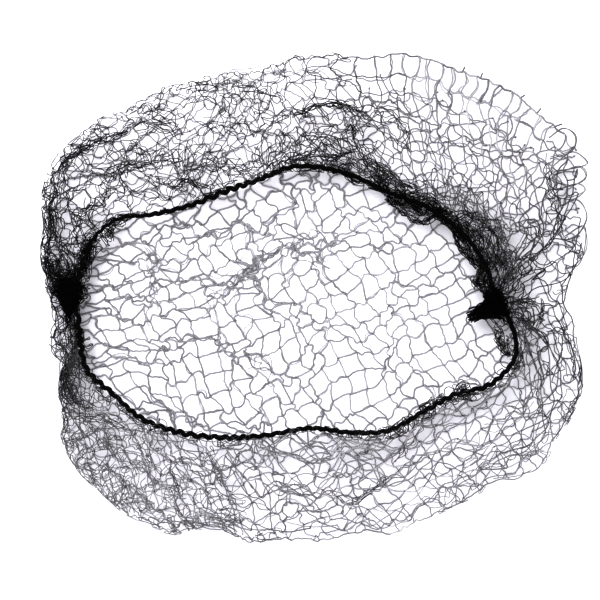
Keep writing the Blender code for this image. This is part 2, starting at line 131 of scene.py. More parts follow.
# Threads that run together in the creases and frills of the band: the points that they
# follow with their half width there, how many threads, how much these curl, how firmly they
# keep to the line, and their grey
Bundle = namedtuple("Bundle", "points threads curl hold grey")
BUNDLES = rows_of(
    Bundle,
    # flowing along the band: upper left, top, lower left
    (((-90, 22, 6), (-84, 38, 8), (-69, 50, 11), (-45, 58, 12)), 19, 0.26, 0.12, 0.08),
    (((-60, 55, 11), (-40, 60, 13), (-19, 63, 13), (4, 68, 9)), 13, 0.26, 0.12, 0.08),
    (((-93, 16, 3), (-95, 30, 2.5), (-90, 46, 2.2), (-78, 58, 2)), 14, 0.16, 0.2, 0.10),
    (((-83, -48, 4), (-76, -60, 7), (-60, -71, 9), (-24, -79, 7)), 62, 0.36, 0.0, 0.34),
    (((-58, 70, 5), (-30, 76, 8), (-5, 79, 8), (22, 80, 7)), 11, 0.2, 0.12, 0.26),
    # upper left
    (((-91, 47, 1.4), (-82, 54, 2), (-75, 57, 1.8), (-66, 60, 1.4)), 10, 0.16, 0.25, 0.03),
    (((-66, 60, 1.4), (-57, 62, 2), (-46, 61, 2.5)), 6, 0.18, 0.2, 0.04),
    (((-80, 44, 2.5), (-62, 47.5, 3), (-50, 49.5, 3), (-40, 51, 2.5)), 7, 0.18, 0.2, 0.03),
    (((-54, 39, 5), (-35, 45, 7), (-18, 49, 6)), 9, 0.26, 0.1, 0.06),
    (((-66, 70, 2), (-54, 66, 2.5), (-45, 59, 2.5)), 6, 0.18, 0.2, 0.05),
    (((-42, 77, 2), (-30, 75.5, 2.6), (-20, 75, 2.4), (-10, 72, 2)), 5, 0.2, 0.15, 0.10),
    (((-50, 39, 0.8), (-46, 43, 1.5), (-42, 41, 1.6), (-38, 37, 0.8)), 9, 0.18, 0.2, 0.03),
    (((-93.5, 46, 1.5), (-94.5, 30, 2.5), (-93.5, 14, 3), (-90, 2, 2.5)), 20, 0.16, 0.2, 0.06),
    (((-80, 36, 2), (-86, 20, 7), (-87, 9, 6), (-86.5, 0, 2.5)), 12, 0.25, 0.1, 0.04),
    (((-93, 14, 4), (-91, 7, 4.5), (-89, 0, 3)), 22, 0.25, 0.05, 0.03),
    (((-79, 24, 1), (-81, 14, 2), (-84, 3, 2)), 12, 0.2, 0.1, 0.02),
    (((-96, 15, 1.5), (-93.5, 8, 2.5), (-90, 3, 2.5), (-87.5, 1, 1.5)), 12, 0.25, 0.1, 0.03),
    # top middle
    (
        (
            (-20, 58, 1.6), (-9, 63.5, 2.4), (1, 68.5, 1.8),
            (8, 71, 1.4), (17, 66.5, 1.8), (26, 61, 2),
        ),
        9, 0.12, 0.36, 0.03,
    ),
    (
        ((8, 71, 1.2), (16, 68, 2), (28, 65, 2.4), (34, 58, 2.4), (37, 48, 1.8)),
        6, 0.14, 0.25, 0.06,
    ),
    (((8, 71, 2), (14, 63, 3), (16, 57, 3)), 5, 0.22, 0.1, 0.08),
    (
        ((14, 62.5, 0.8), (15, 57, 1.3), (17.5, 50.5, 1.3), (25, 46.5, 1.5), (36, 39, 1)),
        9, 0.1, 0.38, 0.02,
    ),
    (((-18, 47, 1), (-2, 51, 2.5), (4.7, 56.5, 2.5), (11, 52, 1.5)), 9, 0.18, 0.2, 0.03),
    (((8, 54, 3), (18, 58, 6), (26, 52, 5), (30, 45, 2)), 6, 0.32, 0.0, 0.05),
    # inside the elastic, upper right
    (
        ((26.5, 36, 0.4), (32, 30.8, 0.8), (40.5, 26, 1), (44, 31, 0.8), (49, 32, 0.4)),
        10, 0.14, 0.3, 0.02,
    ),
    (((27, 37, 0.5), (35, 31.5, 3), (42, 30, 4), (46, 31, 1)), 11, 0.36, 0.0, 0.03),
    (((50, 26, 0.4), (52, 20.5, 1), (56.5, 14.5, 1), (61, 9, 0.5)), 12, 0.12, 0.35, 0.02),
    # right
    (((85, 53, 1.4), (86, 42, 2.4), (88, 33, 3), (92, 18, 2)), 9, 0.16, 0.25, 0.10),
    (((68, 0, 1), (76, -1, 3), (83, -2, 5)), 4, 0.25, 0.05, 0.08),
    (((74, -2, 2), (83, -4, 4), (91, -17, 6), (95, -32, 5), (94, -46, 2)), 9, 0.14, 0.25, 0.10),
    (((69, 4, 2), (77, 9, 5), (82, 18, 5), (80, 28, 4)), 6, 0.24, 0.05, 0.06),
    (((70, -2, 2), (76, -8, 6), (79, -18, 5), (85, -28, 2)), 4, 0.24, 0.1, 0.08),
    (((64, -7, 0.5), (67, -11, 2.4), (67.5, -16, 2.8), (71, -21, 0.6)), 12, 0.3, 0.05, 0.08),
    (((61, 12, 1), (60, 6, 2.6), (62, 2, 1)), 9, 0.28, 0.05, 0.03),
    (((69, -1, 1), (76, -1.2, 1.1), (82.4, 0.2, 0.6)), 7, 0.16, 0.25, 0.06),
    (
        ((82.4, 0, 0.5), (83.2, -4.7, 1.2), (80.6, -10.4, 1.5), (79.2, -16, 1)),
        7, 0.18, 0.2, 0.08,
    ),
    (((70, -4, 2.5), (76, -6, 4.5), (80, -6.5, 4)), 7, 0.3, 0.0, 0.10),
    (
        ((53, 35.6, 0.7), (59, 30, 1.3), (63, 26.6, 1.3), (69, 21, 1.3), (72, 17, 0.8)),
        8, 0.2, 0.2, 0.03,
    ),
    # left, under the gather
    (((-86, -5, 0.5), (-90, -13.5, 4.5), (-86.5, -21.5, 0.8)), 17, 0.08, 0.4, 0.05),
    (
        ((-86.5, -20, 0.8), (-89.5, -28, 3.4), (-86, -35, 3.5), (-77, -39, 1.5)),
        20, 0.18, 0.2, 0.06,
    ),
    (((-87, -22, 0.2), (-91.5, -29, 0.7), (-90, -35, 0.7), (-83, -41, 0.8)), 7, 0.1, 0.5, 0.04),
    # lower band
    (
        ((96, -26, 3), (92, -43, 5), (80, -55, 6), (61, -63, 7), (38, -69, 6)),
        14, 0.14, 0.25, 0.36,
    ),
    (((84, -30, 5), (76, -44, 7), (60, -54, 7), (40, -60, 7)), 6, 0.14, 0.25, 0.34),
    (((-85, -42, 2), (-76, -42, 2.5), (-64, -46, 2)), 9, 0.14, 0.3, 0.14),
    (((-52, -54, 0.7), (-50, -64, 1.2), (-47, -70, 1)), 4, 0.14, 0.25, 0.18),
    (((-36, -53, 0.7), (-34.5, -62, 1.2), (-31.7, -67, 1)), 4, 0.14, 0.25, 0.18),
    (((-32, -80, 0.6), (-30, -87, 0.5), (-27, -84, 1)), 5, 0.08, 0.4, 0.2),
    (((41, -43, 0.8), (35, -51, 1.5), (28, -59, 1.2)), 6, 0.1, 0.35, 0.16),
    (((5, -66, 0.8), (11, -73, 1.2), (16, -73, 1.2), (27, -64, 1)), 8, 0.1, 0.35, 0.2),
)

# The crumpled net beside the elastic: how far it stands out and in, how many threads run
# through each millimetre and their grey
Ruffle = namedtuple("Ruffle", "angle outwards inwards threads grey")
RUFFLES = rows_of(
    Ruffle,
    (-14, 3.0, 5.0, 0.6, 0.05), (-8, 4.0, 6.5, 1.1, 0.05), (0, 3.0, 1.5, 0.7, 0.04),
    (8, 5.0, 3.0, 0.8, 0.03), (16, 7.0, 4.5, 1.5, 0.02), (24, 8.5, 5.0, 1.9, 0.02),
    (31, 9.0, 4.0, 2.2, 0.02), (38, 8.5, 4.5, 2.4, 0.02), (44, 8.0, 3.5, 2.5, 0.02),
    (50, 6.5, 2.0, 2.6, 0.02), (56, 5.0, 3.0, 2.4, 0.02), (62, 4.2, 3.5, 2.2, 0.02),
    (67, 5.0, 3.5, 2.0, 0.02), (72, 8.0, 1.5, 1.5, 0.02), (78, 10.5, 3.0, 1.3, 0.03),
    (84, 8.5, 1.4, 1.0, 0.03), (92, 6.0, 2.5, 0.8, 0.03), (100, 4.5, 2.0, 0.7, 0.04),
    (108, 2.5, 0.6, 0.3, 0.05), (145, 1.5, 0.6, 0.1, 0.05), (150, 2.0, 3.0, 0.6, 0.04),
    (157, 2.5, 6.0, 1.6, 0.03), (165, 4.0, 4.0, 1.6, 0.03), (176, 5.0, 2.0, 2.0, 0.03),
    (184, 3.0, 1.5, 1.0, 0.04), (200, 3.0, 0.8, 0.3, 0.10), (230, 3.5, 0.8, 0.3, 0.20),
    (280, 3.5, 1.0, 0.3, 0.20), (300, 3.5, 2.5, 0.6, 0.10), (318, 4.5, 4.5, 0.8, 0.07),
    (335, 3.5, 3.0, 0.6, 0.07),
)

# How many threads curl along each millimetre of the outline, and their grey
Frill = namedtuple("Frill", "angle threads grey")
FRILLS = rows_of(
    Frill,
    (0, 0.10, 0.12), (14, 0.04, 0.12), (32, 0.00, 0.12), (84, 0.00, 0.10),
    (95, 0.10, 0.10), (120, 0.14, 0.10), (150, 0.18, 0.08), (170, 0.22, 0.06),
    (190, 0.20, 0.06), (205, 0.26, 0.20), (225, 0.44, 0.34), (245, 0.24, 0.36),
    (262, 0.10, 0.34), (300, 0.08, 0.34), (330, 0.16, 0.22), (345, 0.18, 0.16),
)

# Meshes that stand out past the fold at the right edge, each by the points of its loop
LOOPS = (
    ((85, 58), (91, 61), (95, 58.7), (93.6, 53.6), (86, 51)),
    ((86.8, 48), (94, 53), (99.4, 49.3), (95.8, 47.2), (87.5, 46)),
    ((86.8, 44.5), (95.8, 47.2), (98.6, 43.6), (93.6, 40.7), (87.8, 42)),
    ((87.8, 39), (95.4, 41.4), (98.3, 38.9), (94.3, 36.7), (88.6, 36.5)),
    ((89.3, 33.5), (95.8, 35.6), (99, 30), (96.5, 23.4), (92.2, 21)),
    ((91.4, 23), (97.2, 26.3), (98.6, 19.4), (95.8, 13), (91.4, 11)),
)
# The ends of the ties along the open rows: their angle, and how far they lean to the left
TIED_ENDS = ((35.2, -0.3), (39.6, 0.2), (43.9, -0.2), (52.7, 0.3), (56.5, 0.1))

# The bunches that gather the net on the elastic: how far outwards of it, half length and half
# width of the bunch, how it narrows, number of loose fibres and how far they stand out
Bunch = namedtuple("Bunch", "name node angle offset half_length half_width taper loops fuzz")
BUNCHES = rows_of(
    Bunch,
    ("gather_bunch_left", "gather_knot_left", 180, 1.7, 4.9, 3.8, -0.42, 300, 3.4),
    ("gather_bunch_right", "gather_knot_right", 0, -0.4, 4.6, 2.8, 0.0, 200, 2.6),
)

# ---- Measures and draws -------------------------------------------------------------------

# The middle of the elastic and of the lowest threads over the table
ELASTIC_HEIGHT = 9.5
TABLE_CLEARANCE = 0.35
# How far the outline is from the middle on average
USUAL_REACH = 95
# How many straight pieces one side of a mesh is made of
STEPS_IN_BAR = 10
# The layer underneath: between its knots, the slant of its rows, the longest side of a mesh
UNDERSIDE_PITCH = 5.6
UNDERSIDE_SLANT = 30
UNDERSIDE_BAR = 7.4
# The longest side of a mesh of the band
BAND_BAR = 9.8
# A side is straight when its knots are this share of it apart
TAUT = 0.985
# The first and last knots of a column lie within this share of its ends
EDGE_SHARE = 0.001
# The square meshes at the upper right: from and to which angle, and how deep
LADDER_ANGLES = (33, 82)
LADDER_DEPTH = 15
# Where separate loops stand in for the threads along the outer fold
LOOP_ANGLES = (8, 33)
# The family of the threads along the outer fold
ALONG_EDGE = 2

# Every random draw of the net comes from here, so their order decides how it lies
chance = np.random.default_rng(31)


# ---- Shapes of the whole ------------------------------------------------------------------


def closed_curve(values, place):
    """Read a smooth closed curve through evenly spaced values at the given places."""
    values = np.asarray(values, float)
    first = np.floor(place).astype(int)
    share = place - first
    if values.ndim > 1:
        share = share[..., None]
    before, here, there, after = (
        values[(first + step) % len(values)] for step in (-1, 0, 1, 2)
    )
    bend = 2 * before - 5 * here + 4 * there - after
    twist = 3 * (here - there) + after - before
    return 0.5 * (2 * here + (there - before) * share + bend * share**2 + twist * share**3)


def at_angle(values, angle):
    """Read values that are listed evenly all round the middle."""
    return closed_curve(values, np.asarray(angle) % 360 / (360 / len(values)))


REACHES = [reach for row in SECTIONS for reach in (row.reach, row.reach_after)]
EDGES = [(row.edge_x, row.edge_y) for row in SECTIONS]
CRESTS = [row.crest for row in SECTIONS]
CRIMPS = [row.crimp for row in SECTIONS]

# How far the outline is from the middle, how high the outer fold stands, and the point of the
# elastic's line, each at an angle
reach_at, crest_at, edge_at = (partial(at_angle, values) for values in (REACHES, CRESTS, EDGES))


def direction(angle):
    """The direction from the middle."""
    turn = np.radians(angle)
    return np.stack([np.cos(turn), np.sin(turn)], -1)


def fold_at(angle):
    """The point of the outer fold."""
    return reach_at(angle)[..., None] * direction(angle)


def angle_of(points):
    """The angle of points round the middle."""
    return np.degrees(np.arctan2(points[..., 1], points[..., 0])) % 360


def between(angle, low, high):
    """Whether angles lie between two others."""
    return (angle % 360 > low) & (angle % 360 < high)


def size_of(way):
    """The length of flat ways, or how far points are from the middle."""
    return np.hypot(way[..., 0], way[..., 1])


def steps_of(line):
    """The lengths between the points of a flat line."""
    return size_of(np.diff(line, axis=0))


def to_the_left(way):
    """Flat ways turned a quarter to the left."""
    return np.stack([-way[..., 1], way[..., 0]], -1)


def raised(flat, height):
    """Flat points at their heights."""
    return np.concatenate([flat, height[..., None]], -1)


def ramp(value, start, end):
    """0 up to the start, 1 from the end on, and even in between."""
    return np.clip((value - start) / (end - start), 0, 1)


def hump(away, width, power=2):
    """A smooth hump: 1 in the middle, and gone a little past the given width."""
    return np.exp(-((away / width) ** power))


def soft_noise(points, size, seed):
    """Smooth noise in two directions, with bumps of about the given size."""
    waves = 24
    own_chance = np.random.default_rng(seed)
    ways = own_chance.normal(size=(waves, points.shape[-1]))
    ways /= np.linalg.norm(ways, axis=1)[:, None]
    ways *= (2 * np.pi / size) * own_chance.uniform(0.6, 1.4, (waves, 1))
    starts = own_chance.uniform(0, 2 * np.pi, (waves, 2))
    phase = points @ ways.T
    both = [np.cos(phase + starts[:, side]).sum(-1) for side in (0, 1)]
    return np.stack(both, -1) / math.sqrt(waves / 2)


def bumps(points, size, seed):
    """Smooth noise in one direction."""
    return soft_noise(points, size, seed)[..., 0]


def room_inside(points):
    """How far points lie inside the outline."""
    return reach_at(angle_of(points)) - size_of(points)


def room_in_opening(points):
    """How far points lie inside the line of the elastic."""
    line = edge_at(np.arange(0, 360, 1.0))
    turns = angle_of(line)
    order = np.argsort(turns)
    across = np.interp(angle_of(points), turns[order], size_of(line)[order], period=360)
    return across - size_of(points)


def shyness(angle):
    """How far short of the outline the net's edge stays."""
    angle = np.asarray(angle) % 360
    place = USUAL_REACH * direction(angle)
    wide, fine = (np.abs(bumps(place, size, seed=53)) for size in (12, 5))
    tidy = 1 - 0.8 * hump(angle - 58, 22, 4)
    looped = 2.4 * hump(angle - 22, 9)
    curly = hump(angle - 132, 38, 4) + hump(angle - 232, 24, 4)
    arch_length = 4.8
    turns = USUAL_REACH * np.radians(angle) / arch_length + 0.5 * wide
    arches = np.abs(np.sin(np.pi * turns))
    looped = looped + 1.3 * curly * (1 - arches**0.7)
    return (0.55 * wide + 0.45 * fine) * tidy + looped


def zone_value(column, angle):
    """A column of the zone table at an angle, eased between its rows."""
    angles = np.array([row.angle for row in ZONES], float)
    values = np.array([getattr(row, column) for row in ZONES], float)
    turn = 360.0 if column == "edge" else 0.0
    angles = np.r_[angles[-3:] - 360, angles, angles[:3] + 360]
    values = np.r_[values[-3:] - turn, values, values[:3] + turn]
    looks = [np.interp(angle + step, angles, values) for step in (-4, 0, 0, 4)]
    return sum(looks) / len(looks)


# ---- Threads between knots ----------------------------------------------------------------

Threads = namedtuple("Threads", "paths radius grey")
KINKS = ((2, 0.8), (3, 0.8), (5, 0.55), (7, 0.35))
BOWS = ((1, 1.2), (2, 0.5))


def pick(threads, chosen):
    """Part of a set of threads."""
    return Threads(*(column[chosen] for column in threads))


def spun(flat, height, radii, greys, radius=1, grey=1):
    """Threads whose thickness and grey are drawn between two values, or shares of another."""
    radius = radius * chance.uniform(*radii, len(flat))
    return Threads(raised(flat, height), radius, grey * chance.uniform(*greys, len(flat)))


def joined(*sets):
    """Several sets of threads as one."""
    return Threads(*(np.concatenate(columns) for columns in zip(*sets)))


class Bars:
    """The sides of the meshes, in sets within which no two sides share a knot."""

    def __init__(self, used):
        self.used, self.sets, self.families = used, [], []

    def add(self, starts, ends, chosen, family):
        """Add a set: the chosen sides whose two knots are in use."""
        chosen = chosen & self.used[starts] & self.used[ends]
        self.sets.append((starts[chosen], ends[chosen]))
        self.families.append(np.full(chosen.sum(), family))

    def all(self):
        """The first and the last knot of every side, and its family."""
        starts, ends = (np.concatenate(knots) for knots in zip(*self.sets))
        return starts, ends, np.concatenate(self.families)


def draw_in(points, pinches):
    """Draw points together along each pinch line."""
    moved = points.copy()
    end_fade = 4.0
    for pinch in pinches:
        start = np.array([pinch.start_x, pinch.start_y], float)
        along = np.array([pinch.end_x, pinch.end_y], float) - start
        length = size_of(along)
        along /= length
        across = to_the_left(along)
        share = ((points - start) @ along) / length
        away = (points - start) @ across
        past_end = np.clip(np.abs(share - 0.5) - 0.5, 0, None) * length
        grip = hump(away, pinch.reach) * hump(past_end, end_fade)
        moved -= (pinch.pull * grip * away)[..., None] * across
    return moved


def keep_lengths(points, bars, longest, shortest, freedom):
    """Move knots until no side is longer than its thread or shorter than its knots allow."""
    points = points.reshape(-1, 2).copy()
    rounds, haste = 40, 0.9
    for _ in range(rounds):
        for starts, ends in bars:
            way = points[ends] - points[starts]
            length = size_of(way) + 1e-9
            error = np.clip(length - longest, 0, None) + np.clip(length - shortest, None, 0)
            first, second = freedom[starts], freedom[ends]
            step = (haste * error / length / (first + second + 1e-9))[:, None] * way
            points[starts] += step * first[:, None]
            points[ends] -= step * second[:, None]
    return points


def thread_paths(starts, ends, leaving, arriving, full, curl, bowed):
    """The line of each side between its knots, with its slack taken up in curves.

    The given share of the sides is bowed to one side, and the others are S-shaped."""
    count = len(starts)
    waves = np.where(chance.random(count) < bowed, 1, 2)
    side = chance.choice([-1, 1], count)
    u = np.linspace(0, 1, STEPS_IN_BAR + 1)[None, :]
    way = ends - starts
    length = size_of(way)
    across = to_the_left(way) / np.maximum(length, 1e-6)[:, None]
    short = length < 0.8
    turn = chance.uniform(0, 2 * np.pi, count)
    loose = np.stack([np.cos(turn), np.sin(turn)], 1)
    across[short] = loose[short]
    slack = np.sqrt(np.clip(full**2 - length**2, 0, None))
    height = 0.45 / waves * slack * side * curl * chance.uniform(0.55, 1.1, count)
    kink = chance.normal(size=count) * 0.25 * np.clip(np.abs(height) / 2 + 0.5, 0.3, 1.2)
    fine = chance.normal(size=count) * 0.12
    sway = (
        height[:, None] * np.sin(waves[:, None] * np.pi * u)
        + kink[:, None] * np.sin(3 * np.pi * u)
        + fine[:, None] * np.sin(5 * np.pi * u)
    )
    u = u[..., None]
    line = (
        starts[:, None] * (2 * u**3 - 3 * u**2 + 1)
        + leaving[:, None] * (u**3 - 2 * u**2 + u)
        + ends[:, None] * (3 * u**2 - 2 * u**3)
        + arriving[:, None] * (u**3 - u**2)
    )
    return line + sway[..., None] * across[:, None]


def settle_threads(paths, starts, ends, family, fixed, full, through, rounds):
    """Let the threads spring into smooth curves of their own length between their knots.

    For each family of threads, a number says how smoothly it runs on through a knot."""
    count, steps, _ = paths.shape
    knot_count = len(fixed)
    held = fixed[:, None]
    knots = np.zeros((knot_count, 2))
    knots[starts], knots[ends] = paths[:, 0], paths[:, -1]
    anchor = knots.copy()
    rest = (full / (steps - 1))[:, None, None]
    leaving, arriving = np.full((2, len(through), knot_count), -1)
    leaving[family, starts] = arriving[family, ends] = np.arange(count)
    crossings = []
    for after, before, grip in zip(leaving, arriving, through):
        knot = np.nonzero((after >= 0) & (before >= 0))[0]
        crossings.append((knot, after[knot], before[knot], grip))
    shares = np.bincount(starts, minlength=knot_count)
    shares += np.bincount(ends, minlength=knot_count)
    shares = np.maximum(shares, 1)[:, None]
    for _ in range(rounds):
        middle = (paths[:, 2:] + paths[:, :-2]) / 2
        paths[:, 1:-1] += 0.5 * (middle - paths[:, 1:-1])
        for knot, after, before, grip in crossings:
            bend = (paths[after, 1] + paths[before, -2]) / 2 - knots[knot]
            paths[after, 1] -= 0.5 * grip * bend
            paths[before, -2] -= 0.5 * grip * bend
        for odd in (0, 1, 0, 1):
            first, second = paths[:, odd:-1:2], paths[:, odd + 1 :: 2]
            way = second - first
            length = np.linalg.norm(way, axis=2, keepdims=True) + 1e-9
            step = 0.5 * (1 - rest / length) * way
            first += step
            second -= step
        knots = np.zeros((knot_count, 2))
        np.add.at(knots, starts, paths[:, 0])
        np.add.at(knots, ends, paths[:, -1])
        knots = held * anchor + (1 - held) * (knots / shares)
        paths[:, 0], paths[:, -1] = knots[starts], knots[ends]
    return paths, knots


def roughen(paths, amount, bends=KINKS):
    """Small kinks or bows along settled threads, which keep their ends."""
    count, steps, _ = paths.shape
    u = np.linspace(0, 1, steps)[None, :]
    way = np.gradient(paths, axis=1)
    way /= np.linalg.norm(way, axis=2, keepdims=True) + 1e-9
    kinks = sum(
        chance.normal(size=(count, 1)) * np.sin(turns * np.pi * u) * size
        for turns, size in bends
    )
    length = np.linalg.norm(paths[:, -1] - paths[:, 0], axis=1)
    amount = (amount * np.clip(length / 6, 0.1, 1))[:, None]
    return paths + (kinks * amount)[..., None] * to_the_left(way)


def stay_inside(paths, margin):
    """Pull whatever passes the outline by more than a margin back to it."""
    allowed = reach_at(angle_of(paths)) + margin
    return paths * np.minimum(1, allowed / size_of(paths))[..., None]


# ---- The layer underneath -----------------------------------------------------------------


def underside_height(points):
    """The height of the bottom layer: flat on the table, then up the inside of the fold."""
    radius = crest_at(angle_of(points)) / 2
    near = np.clip(1 - room_inside(points) / radius, 0, 1)
    return TABLE_CLEARANCE + (radius - TABLE_CLEARANCE) * (1 - np.sqrt(1 - near**2))


def crowd(flat):
    """Even lattice places moved closer together towards the left gather and the top."""
    across, along = flat[..., 0], flat[..., 1]
    left, up = (24 - across) / 100, (along + 10) / 60
    moved = flat.copy()
    # Columns close up leftwards, but open again left of the opening's middle
    closer, opened = 8, 0.0042
    moved[..., 0] += closer * (np.clip(left, 0, 0.6) ** 2 + 1.2 * np.clip(left - 0.6, 0, None))
    moved[..., 0] -= opened * np.clip(-35 - across, 0, 60) ** 2
    # Rows close up at the top
    moved[..., 1] -= closer * (np.clip(up, 0, 1) ** 2 + 2 * np.clip(up - 1, 0, None))
    # Rows run together towards the left gather
    gather_along, squeeze = 4, 0.42
    near_gather = ramp(across, -10, -80)
    near_gather = near_gather**2 * (3 - 2 * near_gather)
    moved[..., 1] = gather_along + (moved[..., 1] - gather_along) * (1 - squeeze * near_gather)
    # The densest spot lies a little left of the middle and above it
    spot, squeeze, width = np.array([-12.0, 12.0]), 0.22, 30
    away = moved - spot
    distance = np.linalg.norm(away, axis=-1, keepdims=True)
    return spot + away * (1 - squeeze * hump(distance, width))


def underside_knots():
    """Knots of the bottom layer, before the net's own lengths pull on them."""
    numbers = np.arange(-40, 41)
    rows, columns = np.meshgrid(numbers, numbers, indexing="ij")
    turn = math.radians(UNDERSIDE_SLANT)
    along = np.array([math.cos(turn), math.sin(turn)])
    flat = UNDERSIDE_PITCH * (rows[..., None] * along + columns[..., None] * to_the_left(along))
    flat = flat + np.array([1.0, 2.0])
    knots = crowd(flat)
    loose = 0.4 + 0.6 * ramp(flat[..., :1], 30, -30)
    calm = 1 - 0.3 * ramp(flat[..., :1], -40, -80)
    wide, fine = soft_noise(flat, size=34, seed=3), soft_noise(flat, size=14, seed=4)
    knots += wide * 1.5 + fine * 1.7 * loose * calm
    knots += chance.normal(size=flat.shape) * (0.1 + loose) * calm
    return rows, columns, draw_in(knots, UNDERSIDE_PINCHES)


def under_ladder(points):
    """Whether points lie under the open rows of the upper right edge."""
    return between(angle_of(points), *LADDER_ANGLES) & (room_inside(points) < LADDER_DEPTH)


def cut_at_outline(inner, outer):
    """The points where sides from inner to outer ends cross the outline."""
    low, high = np.zeros(len(inner)), np.ones(len(inner))
    halvings = 12
    for _ in range(halvings):
        middle = (low + high) / 2
        place = inner + (outer - inner) * middle[:, None]
        inside = room_inside(place) > shyness(angle_of(place))
        low, high = np.where(inside, middle, low), np.where(inside, high, middle)
    return inner + (outer - inner) * low[:, None]


def lay_underside():
    """Threads and knots of the single layer that lies on the table."""
    rows, columns, knots = underside_knots()
    number = np.arange(rows.size).reshape(rows.shape)
    spare = 2.5 * UNDERSIDE_PITCH
    bars = Bars((room_inside(knots) > -spare).ravel())
    runs = (
        (number[:-1], number[1:], rows[:-1]),
        (number[:, :-1], number[:, 1:], columns[:, :-1]),
    )
    for family, (starts, ends, count) in enumerate(runs):
        for odd in (0, 1):
            bars.add(starts, ends, count % 2 == odd, family)
    freedom = np.ones(rows.size)
    flat = keep_lengths(knots, bars.sets, UNDERSIDE_BAR * TAUT, shortest=2.4, freedom=freedom)
    grid = flat.reshape(*rows.shape, 2)
    leads = np.stack([np.gradient(grid, axis=axis).reshape(-1, 2) for axis in (0, 1)])
    starts, ends, family = bars.all()
    inside, hidden = room_inside(flat) > 0.5, under_ladder(flat)
    kept = (inside[starts] | inside[ends]) & ~(hidden[starts] & hidden[ends])
    starts, ends, family = starts[kept], ends[kept], family[kept]
    first, second = flat[starts], flat[ends]
    leaves, enters = inside[starts] & ~inside[ends], ~inside[starts] & inside[ends]
    whole = ~(leaves | enters)
    second[leaves] = cut_at_outline(first[leaves], second[leaves])
    first[enters] = cut_at_outline(second[enters], first[enters])
    ways = second - first
    length = size_of(ways)
    # The threads are slack, less so beside the left gather and towards the right
    slack = ramp(np.minimum(first[:, 0], second[:, 0]), -80, -40)
    slack = np.where(family == 1, 1.28 + 0.12 * slack, 1.30 + 0.10 * slack)
    slack -= 0.26 * ramp(first[:, 0], 0, 40)
    full = np.minimum(UNDERSIDE_BAR, length * slack + 0.4)
    full = np.where(whole, full, length * 1.1 + 0.3)
    # One family of threads runs on through its knots, the other turns there
    smooth = np.where(family == 1, 0.9, 0.35)[:, None]
    leaving, arriving = (
        np.where(whole[:, None], smooth * leads[family, knot] + (1 - smooth) * ways, ways)
        for knot in (starts, ends)
    )
    count = len(first)
    paths = thread_paths(first, second, leaving, arriving, full, curl=0.95, bowed=0.6)
    cuts = rows.size + np.arange((~whole).sum())
    starts[enters], ends[leaves] = cuts[: enters.sum()], cuts[enters.sum() :]
    fixed = np.r_[np.full(rows.size, 0.8), np.ones(len(cuts))]
    paths, settled = settle_threads(
        paths, starts, ends, family, fixed, full, through=(0.3, 0.9), rounds=10
    )
    paths = stay_inside(roughen(paths, amount=0.16), margin=0.3)
    arch = 0.25 * np.sin(np.pi * np.linspace(0, 1, paths.shape[1]))
    height = underside_height(paths) + arch * chance.uniform(0, 1, (count, 1))
    # Threads that show in the opening are thicker and paler than those under the band
    middles = paths[:, STEPS_IN_BAR // 2]
    seen = ramp(room_in_opening(middles), -2, 2)
    fine = np.interp(angle_of(middles), (80, 95, 235, 260), (0, 0.04, 0.04, 0)) * (1 - seen)
    pale = np.interp(middles[:, 0], (-30, 20), (0.06, 0.09))
    radius, grey = 0.155 + 0.085 * seen - fine, 0.42 + pale * seen
    threads = spun(paths, height, (0.85, 1.1), (0.85, 1.15), radius, grey)
    # Some of them lie double, each pair bowed apart
    paired = np.interp(middles[:, 0], (0, 25), (0.38, 0.16)) * seen
    twice = np.nonzero(chance.random(count) < paired)[0]
    bowed = stay_inside(roughen(paths[twice], amount=0.5, bends=BOWS), margin=0.3)
    thin = np.full(len(twice), 0.12)
    doubles = Threads(raised(bowed, height[twice]), thin, threads.grey[twice] * 1.1)
    places = settled[np.unique(np.r_[starts, ends])]
    places = places[room_inside(places) > 1.0]
    return joined(threads, doubles), raised(places, underside_height(places))


def lay_pinch_fuzz():
    """Fine threads bunched along the lines that draw the layer underneath together."""
    every = []
    points = 24
    for pinch in UNDERSIDE_PINCHES:
        line = np.linspace((pinch.start_x, pinch.start_y), (pinch.end_x, pinch.end_y), points)
        line = line + 1.5 * soft_noise(raised(line, np.zeros(points)), size=9.0, seed=83)
        half = np.full(points, 2.5)
        count = int(5 * pinch.pull * size_of(line[-1] - line[0]) / 12)
        paths = tangle(
            line, half, half, half, count, steps=26, sway=0.16, pull=0.25, reaches=(0.2, 1.3)
        )
        height = underside_height(paths) + chance.uniform(0, 0.8, (count, 1))
        every.append(spun(paths, height, (0.10, 0.12), (0.8, 1.2), grey=0.45))
    return every


# ---- The band that is folded over ---------------------------------------------------------


def band_columns():
    """The angles of the mesh columns at the fold, closer where the net is gathered."""
    start = ZONES[0].angle
    angles = np.linspace(start, start + 360, 3601)
    middles = (angles[1:] + angles[:-1]) / 2
    total = np.r_[0, np.cumsum(steps_of(fold_at(angles)) / zone_value("column", middles))]
    count = 2 * int(round(total[-1] / 2))
    return np.interp(np.arange(count) * total[-1] / count, total, angles)


def crease_pinches():
    """The straight parts of the firm, narrow creases, which knots are drawn towards."""
    firm, narrow = 0.3, 2
    return [
        Pinch(*start[:2], *end[:2], reach=1.5 + start[2], pull=0.4)
        for bundle in BUNDLES
        for start, end in zip(bundle.points[:-1], bundle.points[1:])
        if bundle.hold >= firm and start[2] <= narrow
    ]


